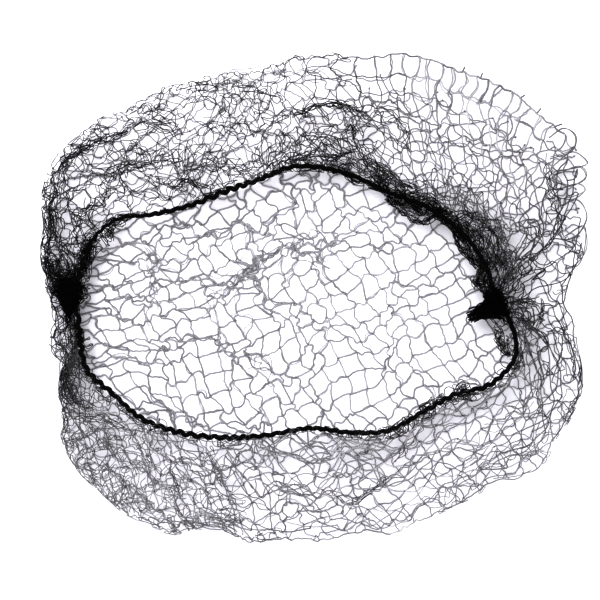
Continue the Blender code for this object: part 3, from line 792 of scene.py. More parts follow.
def band_places(share, angles):
    """How far across the band each row of each column lies.

    A column goes to the outer pleat and back a bit, to the inner one and back, and to its end."""
    spots = fold_at(angles)
    outer_noise, back_noise, inner_noise = (bumps(spots, 40, seed) for seed in (5, 6, 7))
    pleat, tuck = zone_value("pleat", angles), zone_value("tuck", angles)
    outer = 0.62 + 0.08 * outer_noise
    outer_back = outer - pleat + 0.04 * back_noise * pleat
    inner = 0.90 + 0.05 * inner_noise
    inner_back = inner - tuck + 0.08 * back_noise * tuck
    fold, edge = np.zeros(len(angles)), np.ones(len(angles))
    stops = np.stack([fold, outer, outer_back, inner, inner_back, edge])
    legs = np.diff(stops, axis=0)
    gone = np.cumsum(np.abs(np.r_[stops[:1], legs]), axis=0)
    travel = share * gone[-1]
    place = 0 * share
    for leg, low, high in zip(legs, gone[:-1], gone[1:]):
        place = place + leg * np.clip((travel - low) / np.maximum(high - low, 1e-9), 0, 1)
    place = np.clip(place, 0, 1)
    return 1 - (1 - place) ** (1 + 1.6 * zone_value("crumple", angles))


def band_end(angles):
    """Where a column of the band ends: on the elastic, or short of it at the right gather."""
    short = 8.0 * hump((angles + 180) % 360 - 180, 24)
    return edge_at(zone_value("edge", angles)) + short[..., None] * direction(angles)


Lattice = namedtuple("Lattice", "angles following spread share used hangs knots")


def band_lattice():
    """The band's knots, from the outer fold to the elastic, before their lengths pull."""
    angles = band_columns()
    travel = 1 + 2 * zone_value("pleat", angles) + 2 * zone_value("tuck", angles)
    rows = size_of(band_end(angles) - fold_at(angles)) * travel / zone_value("row", angles)
    rows = np.round(rows).astype(int)
    level = np.arange(rows.max() + 1)[:, None] * np.ones(len(angles))
    hangs = zone_value("diamond", angles)
    share = np.clip(level / rows, 0, 1) ** (0.93 + 0.07 * hangs)
    following = np.r_[angles[1:], angles[0] + 360]
    spread = angles + 0.5 * (level % 2) * hangs * (following - angles)
    outer, inner = fold_at(spread), band_end(spread)
    inwards = inner - outer
    width = np.linalg.norm(inwards, axis=-1)
    inwards /= width[..., None]
    flow = bumps(raised(outer, 7.0 * level), size=34, seed=51)
    flow += 0.8 * bumps(raised(outer, 24.0 * level), size=26, seed=52)
    flow *= zone_value("flow", angles) * np.sin(np.pi * share)
    place = band_places(share, angles) + flow / width
    place = place + shyness(spread) / width * ramp(share, 0.25, 0)
    knots = outer * (1 - place)[..., None] + inner * place[..., None]
    along = fold_at(spread + 1) - fold_at(spread - 1)
    along /= np.linalg.norm(along, axis=-1, keepdims=True)
    # Square meshes stand square on the fold, and lean to the elastic further in
    depth = place * width
    square_on = depth * hump(depth, 16) * (1 - hangs)
    knots = knots + square_on[..., None] * (to_the_left(along) - inwards)
    # The last rows reach over the elastic or stop short of it
    sway = chance.normal(size=share.shape) * 0.55
    sway += 0.8 * bumps(knots, size=14, seed=21)
    late = ramp(share, 0.45, 0.95) * (share < 0.99)
    over = zone_value("inner", angles) * late * np.clip(sway, -1.4, 1.6)
    knots = knots + over[..., None] * inwards
    # Knots stray together and singly, less near the fold and the elastic
    stray = 1.2 * soft_noise(knots, size=30, seed=31)
    stray += 0.8 * soft_noise(knots, size=13, seed=32)
    stray = (stray + chance.normal(size=knots.shape)) * zone_value("stray", angles)[:, None]
    nearest_edge = np.minimum(share, 1 - share)
    fade = 0.25 + 0.75 * ramp(nearest_edge, 0, 0.12)
    stray *= np.where(nearest_edge > EDGE_SHARE, fade, 0)[..., None]
    knots = draw_in(knots + stray, crease_pinches())
    return Lattice(angles, following, spread, share, (level <= rows).ravel(), hangs, knots)


def band_bars(lattice):
    """The sides of the band's meshes: slanting, square, and along the edge but for loops."""
    share, angles = lattice.share, lattice.angles
    diamond = lattice.hangs > 0.5
    count = len(angles)
    number = np.arange(share.size).reshape(share.shape)
    bars = Bars(lattice.used)
    for odd, aside in ((0, -1), (1, 1)):
        starts, ends = number[:-1][odd::2], number[1:][odd::2]
        slanting = diamond & np.roll(diamond, -aside)
        bars.add(starts, ends, diamond, odd)
        bars.add(starts, np.roll(ends, -aside, 1), slanting, 1 - odd)
        bars.add(starts, ends, ~diamond, 0)
        column = np.arange(odd, count, 2)
        beside = (column + 1) % count
        starts, ends = number[:, column], number[:, beside]
        square = ~(diamond[column] & diamond[beside])
        bars.add(starts, ends, square & (starts >= count), 1)
        looped = between(angles[column], *LOOP_ANGLES)
        bars.add(starts, ends, (starts < count) & ~looped, ALONG_EDGE)
    return bars


def lay_band():
    """Threads of the band, which of them are in its upper half, and its knots."""
    lattice = band_lattice()
    bars = band_bars(lattice)
    angles, share = lattice.angles, lattice.share.ravel()
    at_fold, at_elastic = share <= EDGE_SHARE, share >= 1 - EDGE_SHARE
    freedom = np.where(at_elastic, 0.0, np.where(at_fold, 0.05, 1.0))
    flat = keep_lengths(lattice.knots, bars.sets, BAND_BAR * TAUT, shortest=1.0, freedom=freedom)
    flat = stay_inside(flat, margin=-0.2)
    starts, ends, family = bars.all()
    edge = family == ALONG_EDGE
    column = starts % len(angles)
    first, second = flat[starts], flat[ends]
    ways = second - first
    length = size_of(ways)
    slack = np.where(edge, 1.05, zone_value("slack", angles)[column])
    full = np.maximum(np.minimum(BAND_BAR, length * slack + 0.3), length)
    paths = thread_paths(first, second, ways, ways, full, curl=0.9, bowed=0.8)
    held = np.where(lattice.hangs > 0.5, 0.35, 0.6)[np.arange(len(share)) % len(angles)]
    held[at_elastic | at_fold] = 1.0
    paths, flat = settle_threads(
        paths, starts, ends, family, held, full, through=(0.8, 0.8, 0.8), rounds=22
    )
    turned = angles[column] % 360
    kinky = np.interp(turned, (80, 100, 225, 250, 265), (0.1, 0.24, 0.24, 0.2, 0.07))
    paths = roughen(paths, kinky)
    # The threads along the fold follow it from one column to the next
    u = np.linspace(0, 1, paths.shape[1])
    spread, following = lattice.spread.ravel(), lattice.following
    along = spread[starts[edge]][:, None] * (1 - u) + following[starts[edge]][:, None] * u
    bow = chance.uniform(-0.1, 0.8, (edge.sum(), 1)) * np.sin(np.pi * u) ** 2
    short = 1 - (shyness(along) + bow) / reach_at(along)
    paths[edge] = fold_at(along) * short[..., None]
    paths = stay_inside(paths, margin=0.4)
    share_along = share[starts][:, None] * (1 - u) + share[ends][:, None] * u
    # Threads of the square meshes are thinner and darker towards the elastic
    open_rows = np.clip(1 - lattice.hangs[column], 0, 1) * share[starts]
    dim = 1 - 0.6 * np.clip(1.5 * open_rows - 0.3, 0, 1)
    radius = zone_value("thread", angles)[column] / 2 * (1 - 0.42 * ramp(open_rows, 0, 0.5))
    radius = radius * (0.5 + 0.5 * dim) * np.where(edge, 1.1, 1.0)
    grey = zone_value("grey", angles)[column] * dim
    height = band_height(paths, share_along)
    threads = spun(paths, height, (0.9, 1.1), (0.7, 1.3), radius, grey)
    # The square meshes lie on the table once more, below themselves
    lower = np.nonzero(under_ladder(paths[:, 0]) & under_ladder(paths[:, -1]) & ~edge)[0]
    beneath = paths[lower] + 0.5 * soft_noise(paths[lower], size=12, seed=58)
    beneath = Threads(
        raised(beneath, underside_height(beneath)),
        threads.radius[lower] * 0.7,
        threads.grey[lower] + 0.15,
    )
    upper = turned[np.r_[: len(paths), lower]] < 180
    shown = lattice.used & ~at_fold & ~at_elastic
    places = raised(flat[shown], band_height(flat[shown], share[shown]))
    return joined(threads, beneath), upper, places


def band_height(points, share):
    """The height of the band: half way up at the fold, over its crest, then to the elastic."""
    radius = crest_at(angle_of(points)) / 2
    near = np.clip(1 - room_inside(points) / radius, 0, 1)
    top = radius + radius * np.sqrt(1 - near**2)
    ease = ramp(share, 0.3, 1)
    top = top * (1 - ease) + ELASTIC_HEIGHT * ease
    top = top + 0.5 * bumps(points, size=9, seed=41) * np.sin(np.pi * share)
    past_fold = ramp(share, 0, 0.06)
    return np.maximum(TABLE_CLEARANCE, past_fold * top + (1 - past_fold) * radius)


# ---- Meshes -------------------------------------------------------------------------------

THREAD_SIDES = 4
KNOT_SIDES = 5


def rings_round(line, way, guide, radius, sides):
    """Rings of points that stand across a line, with a radius for each ring or point."""
    side = np.cross(way, guide)
    side /= np.maximum(np.linalg.norm(side, axis=-1), 1e-9)[..., None]
    up = np.cross(side, way)
    turn = 2 * np.pi * np.arange(sides)[:, None] / sides
    ring = np.cos(turn) * side[..., None, :] + np.sin(turn) * up[..., None, :]
    return line[..., None, :] + radius[..., None] * ring


def faces_between(here, there):
    """Four-sided faces between rings of point numbers."""
    next_here, next_there = np.roll(here, -1, -1), np.roll(there, -1, -1)
    return np.stack([here, next_here, next_there, there], -1).reshape(-1, 4)


def tubes(paths, radius, grey, sides):
    """Closed round tubes along paths with the same number of steps, as a part of a mesh."""
    count, steps, _ = paths.shape
    way = np.gradient(paths, axis=1)
    way /= np.maximum(np.linalg.norm(way, axis=2), 1e-9)[..., None]
    middle = paths[:, steps // 2]
    around = raised(to_the_left(middle), 0 * middle[:, 0])
    around /= np.linalg.norm(around, axis=1)[:, None]
    steep = np.abs(way[..., 2]).max(1) > 0.8
    guide = np.where(steep[:, None], around, [0.0, 0.0, 1.0])
    radius = np.broadcast_to(radius, (count, steps))[..., None]
    points = rings_round(paths, way, guide[:, None], radius, sides)
    number = np.arange(count * steps * sides).reshape(count, steps, sides)
    caps = np.concatenate([number[:, 0, ::-1], number[:, -1]])
    greys = np.broadcast_to(grey, (steps * sides, count)).T
    faces = faces_between(number[:, :-1], number[:, 1:])
    return points.reshape(-1, 3), faces, caps, greys.ravel()


def mesh_from_parts(name, parts):
    """One mesh from several sets of points, four-sided faces, end caps and greys."""
    loops, sizes, start = [], [], 0
    for part_points, quads, caps, _ in parts:
        for faces in (quads, caps):
            loops.append(faces.ravel() + start)
            sizes.append(np.full(len(faces), faces.shape[1]))
        start += len(part_points)
    points, greys = (np.concatenate([part[column] for part in parts]) for column in (0, 3))
    loops, sizes = np.concatenate(loops), np.concatenate(sizes)
    mesh = bpy.data.meshes.new(name)
    mesh.vertices.add(len(points))
    mesh.vertices.foreach_set("co", (points * MM).astype(np.float32).ravel())
    mesh.loops.add(len(loops))
    mesh.loops.foreach_set("vertex_index", loops.astype(np.int32))
    mesh.polygons.add(len(sizes))
    begins = np.r_[0, np.cumsum(sizes)[:-1]]
    mesh.polygons.foreach_set("loop_start", begins.astype(np.int32))
    mesh.polygons.foreach_set("use_smooth", np.ones(len(sizes), bool))
    grey_data = mesh.attributes.new("thread_grey", "FLOAT", "POINT")
    grey_data.data.foreach_set("value", greys.astype(np.float32))
    mesh.update()
    mesh.validate()
    made = bpy.data.objects.new(name, mesh)
    bpy.context.scene.collection.objects.link(made)
    return made


def thread_part(threads):
    """The part of a mesh for a set of threads."""
    return tubes(threads.paths, threads.radius[:, None], threads.grey, THREAD_SIDES)


def knot_part(places, size, grey):
    """Small knots at the crossings, each a short thick turn of thread."""
    count = len(places)
    turn = chance.uniform(0, 2 * np.pi, count)
    lean = np.stack([np.cos(turn), np.sin(turn), 0.15 * np.cos(3 * turn)], 1)
    half = size * chance.uniform(0.9, 1.5, count)
    rungs, swell = np.array([-1.0, -0.4, 0.4, 1.0]), np.array([0.45, 1.0, 1.0, 0.45])
    paths = places[:, None] + (half[:, None] * rungs)[..., None] * lean[:, None]
    radius = size * chance.uniform(0.7, 1.1, (count, 1)) * swell
    return tubes(paths, radius, grey, KNOT_SIDES)


# ---- The elastic, its ruffle and its gathers ----------------------------------------------

ELASTIC_RADIUS = 0.78
ELASTIC_SIDES = 14
ELASTIC_GREY = 0.012
CRIMP_LENGTH = 3.8
CRIMP_DEPTH = 0.45
WRAP_LENGTH = 1.1
WRAP_DEPTH = 0.05


def elastic_line(step):
    """Evenly spaced places along the elastic: their angles and distances, and the length."""
    angles = np.arange(0, 360, 0.1)
    line = edge_at(angles)
    travelled = np.r_[0, np.cumsum(steps_of(np.concatenate([line, line[:1]])))]
    count = int(travelled[-1] / step)
    wanted = np.arange(count) * travelled[-1] / count
    return np.interp(wanted, travelled, np.r_[angles, 360.0]), wanted, travelled[-1]


def way_round(line):
    """The direction of a closed line at each of its points."""
    way = np.roll(line, -1, 0) - np.roll(line, 1, 0)
    return way / np.linalg.norm(way, axis=1)[:, None]


def make_elastic(name):
    """The round elastic: crimped along its line, wound with a fine thread."""
    angles, travelled, length = elastic_line(step=0.33)
    points = edge_at(angles)
    phase = 2 * np.pi * round(length / CRIMP_LENGTH) * travelled / length
    uneven = soft_noise(points, size=22, seed=61)
    depth = CRIMP_DEPTH * at_angle(CRIMPS, angles) * (1 + 0.25 * uneven[:, 0])
    shift = depth * np.sin(phase + 0.9 * uneven[:, 1])
    rise = 0.3 * depth * np.cos(phase + 0.9 * uneven[:, 1])
    points = points + shift[:, None] * to_the_left(way_round(points))
    line = raised(points, ELASTIC_HEIGHT + rise)
    turn = 2 * np.pi * np.arange(ELASTIC_SIDES) / ELASTIC_SIDES
    wraps = round(length / WRAP_LENGTH)
    ridge = np.sin(2 * np.pi * wraps * travelled[:, None] / length + turn)
    stretched = 0.30 * hump(angles - 152, 11, 4)
    girth = ELASTIC_RADIUS * (1 + 0.05 * np.sin(2 * phase) - stretched)
    radius = girth[:, None] + WRAP_DEPTH * ridge
    rings = rings_round(line, way_round(line), [0.0, 0.0, 1.0], radius, ELASTIC_SIDES)
    number = np.arange(len(line) * ELASTIC_SIDES).reshape(len(line), ELASTIC_SIDES)
    faces = faces_between(number, np.roll(number, -1, 0))
    no_caps = np.zeros((0, 3), int)
    grey = np.full(number.size, ELASTIC_GREY)
    return mesh_from_parts(name, [(rings.reshape(-1, 3), faces, no_caps, grey)])


# How far a curling thread goes in one step
THREAD_STEP = 0.7


def tangle(spine, outwards, inwards, crowding, count, steps, sway, pull, reaches):
    """Curling threads that wander along a line, between two distances from it."""
    travelled = np.r_[0, np.cumsum(steps_of(spine))]
    total = travelled[-1]
    way = np.gradient(spine, axis=0)
    way /= np.linalg.norm(way, axis=1)[:, None]
    across = -to_the_left(way)
    weight = np.r_[0, np.cumsum((crowding[1:] + crowding[:-1]) * np.diff(travelled))]
    place = np.interp(chance.uniform(0, weight[-1], count), weight, travelled)
    depth = chance.uniform(0, 1, count)
    goal = np.where(place < total * chance.uniform(0.3, 0.7, count), 0, np.pi)
    heading = goal + chance.normal(size=count) * (0.4 if pull else 3.0)
    bend = np.zeros(count)
    reach = chance.uniform(*reaches, count)
    every = []
    for _ in range(steps):
        along = total * (1 - np.abs((place / total) % 2 - 1))
        room = np.interp(along, travelled, outwards + inwards)
        share = 0.5 - 0.5 * np.cos(np.pi * depth)
        aside = (share * room - np.interp(along, travelled, inwards)) * reach
        spot = [
            np.interp(along, travelled, spine[:, axis])
            + aside * np.interp(along, travelled, across[:, axis])
            for axis in (0, 1)
        ]
        every.append(np.stack(spot, -1))
        bend = 0.7 * bend + sway * chance.normal(size=count)
        heading = heading + bend - pull * np.sin(heading - goal)
        place = place + THREAD_STEP * np.cos(heading)
        depth = depth + THREAD_STEP * np.sin(heading) / np.maximum(room, 1.0)
    return np.stack(every, 1)


def table_columns(rows, angles):
    """The columns of a table by angle, read at the given angles."""
    turns, *columns = np.array(rows, float).T
    return [np.interp(angles, turns, column) for column in columns]


def lay_ruffles():
    """Curling net that stands on both sides of the elastic where it is gathered."""
    angles, _, _ = elastic_line(step=1.0)
    last = 360 + RUFFLES[0].angle
    angles = np.r_[angles[angles > last] - 360, angles[angles <= last]]
    after = [(row.angle + 360, *row[1:]) for row in RUFFLES[:3]]
    outwards, inwards, crowding, grey = table_columns([*RUFFLES, *after], angles)
    spine = edge_at(angles)
    count, steps = int(crowding.mean() * steps_of(spine).sum()), 36
    uneven = 1 + 0.18 * soft_noise(spine, size=11, seed=62)
    outwards, inwards = outwards * uneven[:, 0], inwards * uneven[:, 1]
    paths = tangle(
        spine, outwards, inwards, crowding, count, steps, sway=0.34, pull=0.0, reaches=(0.3, 1)
    )
    rise = chance.uniform(-2.2, 1.5, (count, 1))
    sway = 0.5 * np.sin(np.linspace(0, 9, steps) + chance.uniform(0, 6, (count, 1)))
    near = np.interp(angle_of(paths[:, 0]) % last, angles, grey)
    return spun(paths, ELASTIC_HEIGHT + rise + sway, (0.085, 0.115), (0.6, 1.4), grey=near)


def lay_bundles():
    """Threads that run together in the creases and frills."""
    every = []
    for bundle in BUNDLES:
        count, points = bundle.threads, np.array(bundle.points, float)
        place, number = np.linspace(0, len(points) - 1, 30), np.arange(len(points))
        spine = np.stack([np.interp(place, number, column) for column in points.T], -1)
        smoothings = 5
        for _ in range(smoothings):
            spine[1:-1] = (spine[:-2] + spine[1:-1] + spine[2:]) / 3
        spine, half = spine[:, :2], spine[:, 2]
        shortest, longest = (12, 34) if bundle.hold >= 0.15 else (30, 30)
        steps = int(np.clip(0.75 * steps_of(spine).sum() / THREAD_STEP, shortest, longest))
        paths = tangle(
            spine, half, half, half + 0.5, count, steps, bundle.curl, bundle.hold, (0.2, 1.4)
        )
        apart = 0.9 * np.arange(count)[:, None] * np.ones(steps)
        paths = paths + 0.3 * soft_noise(raised(paths, apart), size=4.0, seed=71)
        paths = stay_inside(paths, chance.uniform(-3.5, 0.3, (count, 1)))
        height = band_height(paths, share=0.5) + chance.uniform(-1.2, 0.2, (count, 1))
        height = np.maximum(height, 0.5)
        every.append(spun(paths, height, (0.088, 0.115), (0.6, 1.4), grey=bundle.grey))
    return every


def lay_frill():
    """Threads that curl along the outline."""
    angles = np.arange(0, 360, 0.5)
    crowding, grey = table_columns([*FRILLS, (360, *FRILLS[0][1:])], angles)
    spine = fold_at(angles) * (1 - 0.6 / reach_at(angles))[:, None]
    count = int(crowding.mean() * steps_of(spine).sum())
    outwards, inwards = (np.full(len(angles), width) for width in (0.7, 9.0))
    paths = tangle(
        spine, outwards, inwards, crowding, count, steps=30, sway=0.3, pull=0.0, reaches=(0.3, 1)
    )
    near = np.interp(angle_of(paths[:, 0]), angles, grey)
    height = band_height(paths, share=0.2)
    return spun(paths, height, (0.10, 0.14), (0.6, 1.4), grey=near)


def lay_loops():
    """The loops of the right edge and the ends of the ties along the open rows."""
    lines, heights = [], []
    place = np.linspace(0, 1, 24)
    for loop in np.repeat(np.array(LOOPS), 2, 0):
        own = loop + chance.normal(size=loop.shape) * 0.3
        before, after = 2 * own[0] - own[1], 2 * own[-1] - own[-2]
        lines.append(closed_curve([before, *own, after], 1 + place * (len(own) - 1)))
        heights.append(0.5 * crest_at(angle_of(lines[-1])) + 1.2 * np.cos(3 * place))
    loops = spun(np.array(lines), np.array(heights), (0.13, 0.16), (0.25, 0.4))
    angles, leans = np.array(TIED_ENDS).T
    middle = fold_at(angles)
    out = middle / size_of(middle)[:, None]
    steps = np.linspace(-0.8, 1.6, 5)[:, None]
    line = middle[:, None] + steps * (out + to_the_left(out) * leans[:, None])[:, None]
    height = 0.5 * crest_at(angles)[:, None] * np.ones(len(steps))
    same = np.ones(len(angles))
    return [loops, Threads(raised(line, height), 0.24 * same, 0.25 * same)]


BUNCH_HALF_HEIGHT = 2.7
CORE_SHARE = 0.86
LASHING_TURNS = 6
LASHING_PITCH = 0.9
LASHING_GREY = 0.012
LOWEST_FIBRE, HIGHEST_FIBRE = 2.0, 14.0


def make_bunch(bunch):
    """A dark knotted bunch of net with its lashing and loose fibres."""
    middle, ahead, behind = edge_at(bunch.angle + np.array([0.0, 2.0, -2.0]))
    way = (ahead - behind) / size_of(ahead - behind)
    across = to_the_left(way)
    if across @ middle < 0:
        across = -across
    centre = np.array([*(middle + bunch.offset * across), ELASTIC_HEIGHT])
    axes = np.array([[*way, 0.0], [*across, 0.0], [0.0, 0.0, 1.0]])
    half = np.array([bunch.half_length, bunch.half_width, BUNCH_HALF_HEIGHT])
    rows, columns, end_hole = 40, 36, 0.02
    rise = np.linspace(end_hole, np.pi - end_hole, rows)[:, None]
    turn = 2 * np.pi * np.arange(columns)[None, :] / columns
    core = np.stack(
        [np.cos(rise) + 0 * turn, np.sin(rise) * np.cos(turn), np.sin(rise) * np.sin(turn)], -1
    )
    lumps = 0.10 * bumps(core * 10, size=6, seed=71)
    lumps = lumps + 0.05 * np.sin(5 * turn + 14 * np.cos(rise))
    core[..., 1] *= 1 + bunch.taper * core[..., 0]
    core = centre + (core * (half * CORE_SHARE) * (1 + lumps)[..., None]) @ axes
    number = np.arange(rows * columns).reshape(rows, columns)
    beside = np.roll(number, -1, 1)
    quads = np.stack([number[:-1], number[1:], beside[1:], beside[:-1]], -1).reshape(-1, 4)
    caps = np.stack([number[0], number[-1, ::-1]])
    parts = [(core.reshape(-1, 3), quads, caps, np.full(number.size, 0.01))]
    at = LASHING_PITCH * (np.arange(LASHING_TURNS)[:, None] - (LASHING_TURNS - 1) / 2)
    circle = np.linspace(0, 2 * np.pi, 25)
    girth = np.sqrt(1 - (at / bunch.half_length) ** 2) * 0.9
    taper = 1 + bunch.taper * at / half[0]
    lashing = [
        at + 0.5 * circle / np.pi - 0.5,
        half[1] * girth * taper * np.cos(circle),
        half[2] * girth * np.sin(circle),
    ]
    lashing = centre + np.stack(lashing, -1) @ axes
    parts.append(tubes(lashing, radius=0.38, grey=LASHING_GREY, sides=8))
    count, steps = bunch.loops, 14
    u = np.linspace(0, 1, steps)[None, :]
    spin = chance.uniform(0, 2 * np.pi, (count, 1)) + chance.normal(size=(count, 1)) * 2.4 * u
    slide = chance.uniform(-1.15, 1.15, (count, 1))
    slide = slide + 0.5 * chance.normal(size=(count, 1)) * u
    fuzz = bunch.fuzz / bunch.half_width * chance.beta(1.3, 3.0, (count, 1))
    out = 0.75 + fuzz * np.sin(np.pi * u)
    out = out + np.cumsum(chance.normal(size=(count, steps)), 1) * 0.05
    slide = slide + np.cumsum(chance.normal(size=(count, steps)), 1) * 0.07
    girth = np.sqrt(np.clip(1.25 - slide**2 / 1.6, 0.12, None))
    fibres = np.stack([slide, girth * out * np.cos(spin), girth * out * np.sin(spin)], -1)
    fibres[..., 1] *= 1 + bunch.taper * np.clip(slide, -1, 1)
    fibres = centre + (fibres * half) @ axes
    fibres[..., 2] = np.clip(fibres[..., 2], LOWEST_FIBRE, HIGHEST_FIBRE)
    parts.append(tubes(fibres, radius=0.11, grey=0.02, sides=5))
    if bunch.node == "gather_knot_right":
        parts.append(tail_part())
    return mesh_from_parts(bunch.name, parts)


def tail_part():
    """The loose end of the right gather: a tapering wisp of threads."""
    start, end = np.array([66.2, -2.6]), np.array([56.6, -6.2])
    across = to_the_left(end - start) / size_of(end - start)
    count, steps = 90, 12
    u = np.linspace(0, 1, steps)[None, :]
    reach = chance.uniform(0.5, 1.1, (count, 1)) * u
    girth = 1.5 + 2.6 * (1 - np.minimum(reach, 1)) ** 1.8
    aside = np.clip(chance.normal(0, 0.55, (count, 1)), -1.2, 1.2) * girth
    aside = aside + np.cumsum(chance.normal(size=(count, steps)), 1) * 0.24
    line = start + (end - start) * reach[..., None] + aside[..., None] * across
    height = ELASTIC_HEIGHT + chance.normal(size=(count, 1)) * 0.9 - 0.8 * u
    return tubes(raised(line, height), radius=0.17, grey=LASHING_GREY, sides=6)


# ---- Materials ----------------------------------------------------------------------------


class Value:
    """A socket that can be used in sums, which add their Math nodes."""

    def __init__(self, tree, socket):
        self.tree, self.socket = tree, socket

    def join(self, operation, first, second):
        """Add a Math node for two terms, which are sockets or numbers."""
        node = self.tree.nodes.new("ShaderNodeMath")
        node.operation = operation
        for place, term in enumerate((first, second)):
            if isinstance(term, Value):
                self.tree.links.new(term.socket, node.inputs[place])
            else:
                node.inputs[place].default_value = term
        return Value(self.tree, node.outputs[0])

    def __add__(self, other):
        return self.join("ADD", self, other)

    def __radd__(self, other):
        return self.join("ADD", other, self)

    def __mul__(self, other):
        return self.join("MULTIPLY", self, other)


class Finish:
    """A material under construction."""

    def __init__(self, name):
        self.material = bpy.data.materials.new(name)
        self.material.use_nodes = True
        self.tree = self.material.node_tree

    def feed(self, socket, value):
        """Give a socket a value or a link."""
        if isinstance(value, Value):
            self.tree.links.new(value.socket, socket)
        else:
            socket.default_value = value

    def node(self, kind, settings=None, inputs=None, output=0):
        """Add one node: its settings first, then the values or links of its sockets."""
        node = self.tree.nodes.new(kind)
        for key, value in (settings or {}).items():
            setattr(node, key, value)
        for key, value in (inputs or {}).items():
            self.feed(node.inputs[key], value)
        return Value(self.tree, node.outputs[output])

    def noise(self, size, detail=2.0):
        """Noise over the object with grains of about the given size."""
        place = self.node("ShaderNodeTexCoord", output=3)
        inputs = {"Vector": place, "Scale": 1 / (size * MM), "Detail": detail}
        return self.node("ShaderNodeTexNoise", inputs=inputs)

    def bump(self, height, strength, depth):
        """A relief of the given depth."""
        inputs = {"Height": height, "Strength": strength, "Distance": depth * MM}
        return self.node("ShaderNodeBump", inputs=inputs)

    def cover(self, grey, **inputs):
        """Feed the shader: a colour from a grey, a trace bluer, and other sockets by name."""
        shader = self.tree.nodes["Principled BSDF"]
        colour = {"Red": grey, "Green": grey * 0.99, "Blue": grey * 1.03}
        self.feed(shader.inputs["Base Color"], self.node("ShaderNodeCombineColor", inputs=colour))
        for key, value in inputs.items():
            self.feed(shader.inputs[key.replace("_", " ")], value)
        return self.material


def make_net_thread():
    """Fine spun thread: its grey follows the piece, with lint and slubs along it."""
    finish = Finish("net_thread")
    grey = finish.node("ShaderNodeAttribute", {"attribute_name": "thread_grey"}, output=2)
    slubs, lint = finish.noise(size=3.0), finish.noise(size=0.35, detail=3.0)
    return finish.cover(
        grey * (0.7 + slubs * 0.6) * (0.75 + lint * 0.5),
        Roughness=0.6 + lint * 0.3,
        Normal=finish.bump(lint, strength=0.35, depth=0.05),
        Specular_IOR_Level=0.25,
        Sheen_Weight=0.05,
    )


def make_elastic_finish():
    """Black wound elastic with a dull sheen on its ridges."""
    finish = Finish("wound_elastic")
    lint, worn = finish.noise(size=0.3, detail=3.0), finish.noise(size=6.0)
    return finish.cover(
        0.008 + lint * 0.010 + worn * 0.006,
        Roughness=0.62 + worn * 0.25,
        Normal=finish.bump(lint, strength=0.5, depth=0.08),
        Specular_IOR_Level=0.2,
    )


def make_lashing_finish():
    """Matted black thread of the gathers, rough where it is linty."""
    finish = Finish("gather_thread")
    lint, clumps = finish.noise(size=0.5, detail=4.0), finish.noise(size=2.5)
    return finish.cover(
        0.006 + lint * 0.012 + clumps * 0.008,
        Roughness=0.75 + lint * 0.2,
        Normal=finish.bump(lint, strength=0.7, depth=0.2),
        Specular_IOR_Level=0.15,
    )


# ---- Table, light and camera --------------------------------------------------------------

PICTURE_SIDE = 216
PICTURE_MIDDLE = (-4.3, -0.4)
PICTURE_LEVEL = 5
LENS = 200.0
SENSOR = 36.0
# Where the lamp hangs and how far the table reaches from its middle, in metres
LAMP_PLACE = (-0.35, 0.45, 1.0)
TABLE_HALF = 6.0


def add_object(name, data):
    """An object in the scene."""
    made = bpy.data.objects.new(name, data)
    bpy.context.scene.collection.objects.link(made)
    return made


def make_table():
    """A plain white table top."""
    finish = Finish("white_table")
    mottle = finish.noise(size=180.0)
    mesh = bpy.data.meshes.new("table")
    signs = ((-1, -1), (1, -1), (1, 1), (-1, 1))
    corners = [(TABLE_HALF * across, TABLE_HALF * along, 0) for across, along in signs]
    mesh.from_pydata(corners, [], [(0, 1, 2, 3)])
    mesh.materials.append(
        finish.cover(
            (0.955 + mottle * 0.02) * 0.98,
            Roughness=0.9 + mottle * 0.05,
            Specular_IOR_Level=0.0,
        )
    )
    add_object("table", mesh)


def make_light():
    """Even white light from all round and a broad soft lamp above."""
    world = bpy.data.worlds.new("studio")
    world.use_nodes = True
    background = world.node_tree.nodes["Background"]
    background.inputs["Color"].default_value = (1.0, 1.0, 1.0, 1.0)
    background.inputs["Strength"].default_value = 1.0
    bpy.context.scene.world = world
    lamp = bpy.data.lights.new("soft_lamp", "AREA")
    lamp.shape, lamp.size, lamp.energy = "DISK", 0.9, 9.0
    held = add_object("soft_lamp", lamp)
    across, along, up = LAMP_PLACE
    held.location = LAMP_PLACE
    held.rotation_euler = -math.atan2(along, up), math.atan2(across, math.hypot(along, up)), 0


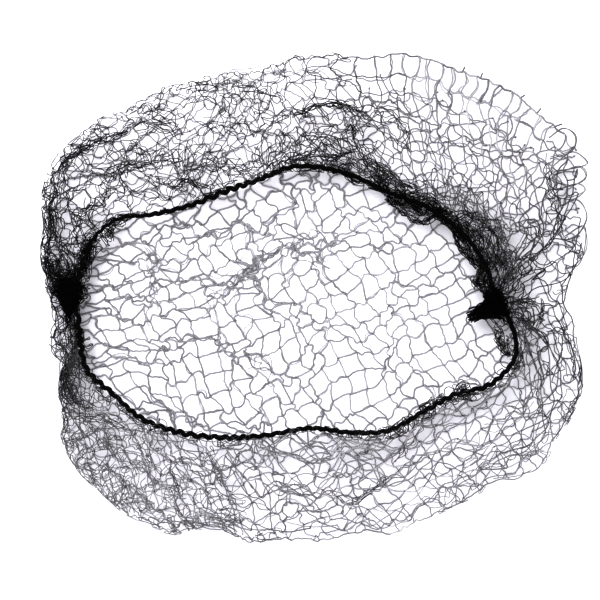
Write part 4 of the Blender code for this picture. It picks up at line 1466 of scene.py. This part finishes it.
def make_camera():
    """A long lens looking straight down, as the photograph was taken."""
    lens = bpy.data.cameras.new("camera")
    lens.lens, lens.sensor_width, lens.sensor_fit = LENS, SENSOR, "AUTO"
    lens.clip_start, lens.clip_end = 0.05, 20.0
    camera = add_object("camera", lens)
    height = PICTURE_SIDE * MM * LENS / SENSOR + PICTURE_LEVEL * MM
    camera.location = (PICTURE_MIDDLE[0] * MM, PICTURE_MIDDLE[1] * MM, height)
    bpy.context.scene.camera = camera
    look = bpy.context.scene.view_settings
    look.view_transform, look.look = "Standard", "None"
    look.gamma = 0.45


# ---- Putting the piece together -----------------------------------------------------------


def dress(piece, node, material):
    """Ride, replace and finish one piece."""
    piece.data.materials.append(material)
    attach(piece, "root")
    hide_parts(node)


def main():
    """Build the stage, then lay the net from the table upwards and dress every piece."""
    make_camera()
    make_light()
    make_table()
    thread = make_net_thread()
    under, under_knots = lay_underside()
    band, upper, band_knots = lay_band()
    ruffles = lay_ruffles()
    left, knot_left = under.paths[:, 0, 0] < 0, under_knots[:, 0] < 0
    knot_upper = angle_of(band_knots) < 180
    pieces = {}
    for name, threads, shown, knots, knots_shown, size, grey in (
        ("net_underside_left", under, left, under_knots, knot_left, 0.28, 0.30),
        ("net_underside_right", under, ~left, under_knots, ~knot_left, 0.28, 0.30),
        ("net_upper_band", band, upper, band_knots, knot_upper, 0.22, 0.06),
        ("net_lower_band", band, ~upper, band_knots, ~knot_upper, 0.26, 0.20),
    ):
        own_knots = knot_part(knots[knots_shown], size, grey)
        pieces[name] = [thread_part(pick(threads, shown)), own_knots]
    for name, sets in (
        ("net_ruffle", [ruffles]),
        ("net_creases", lay_bundles()),
        ("net_edge", [lay_frill(), *lay_loops()]),
        ("net_underside_pinches", lay_pinch_fuzz()),
    ):
        pieces[name] = [thread_part(threads) for threads in sets]
    for name, parts in pieces.items():
        dress(mesh_from_parts(name, parts), "net", thread)
    dress(make_elastic("elastic_loop"), "elastic_cord", make_elastic_finish())
    lashing = make_lashing_finish()
    for bunch in BUNCHES:
        dress(make_bunch(bunch), bunch.node, lashing)


main()
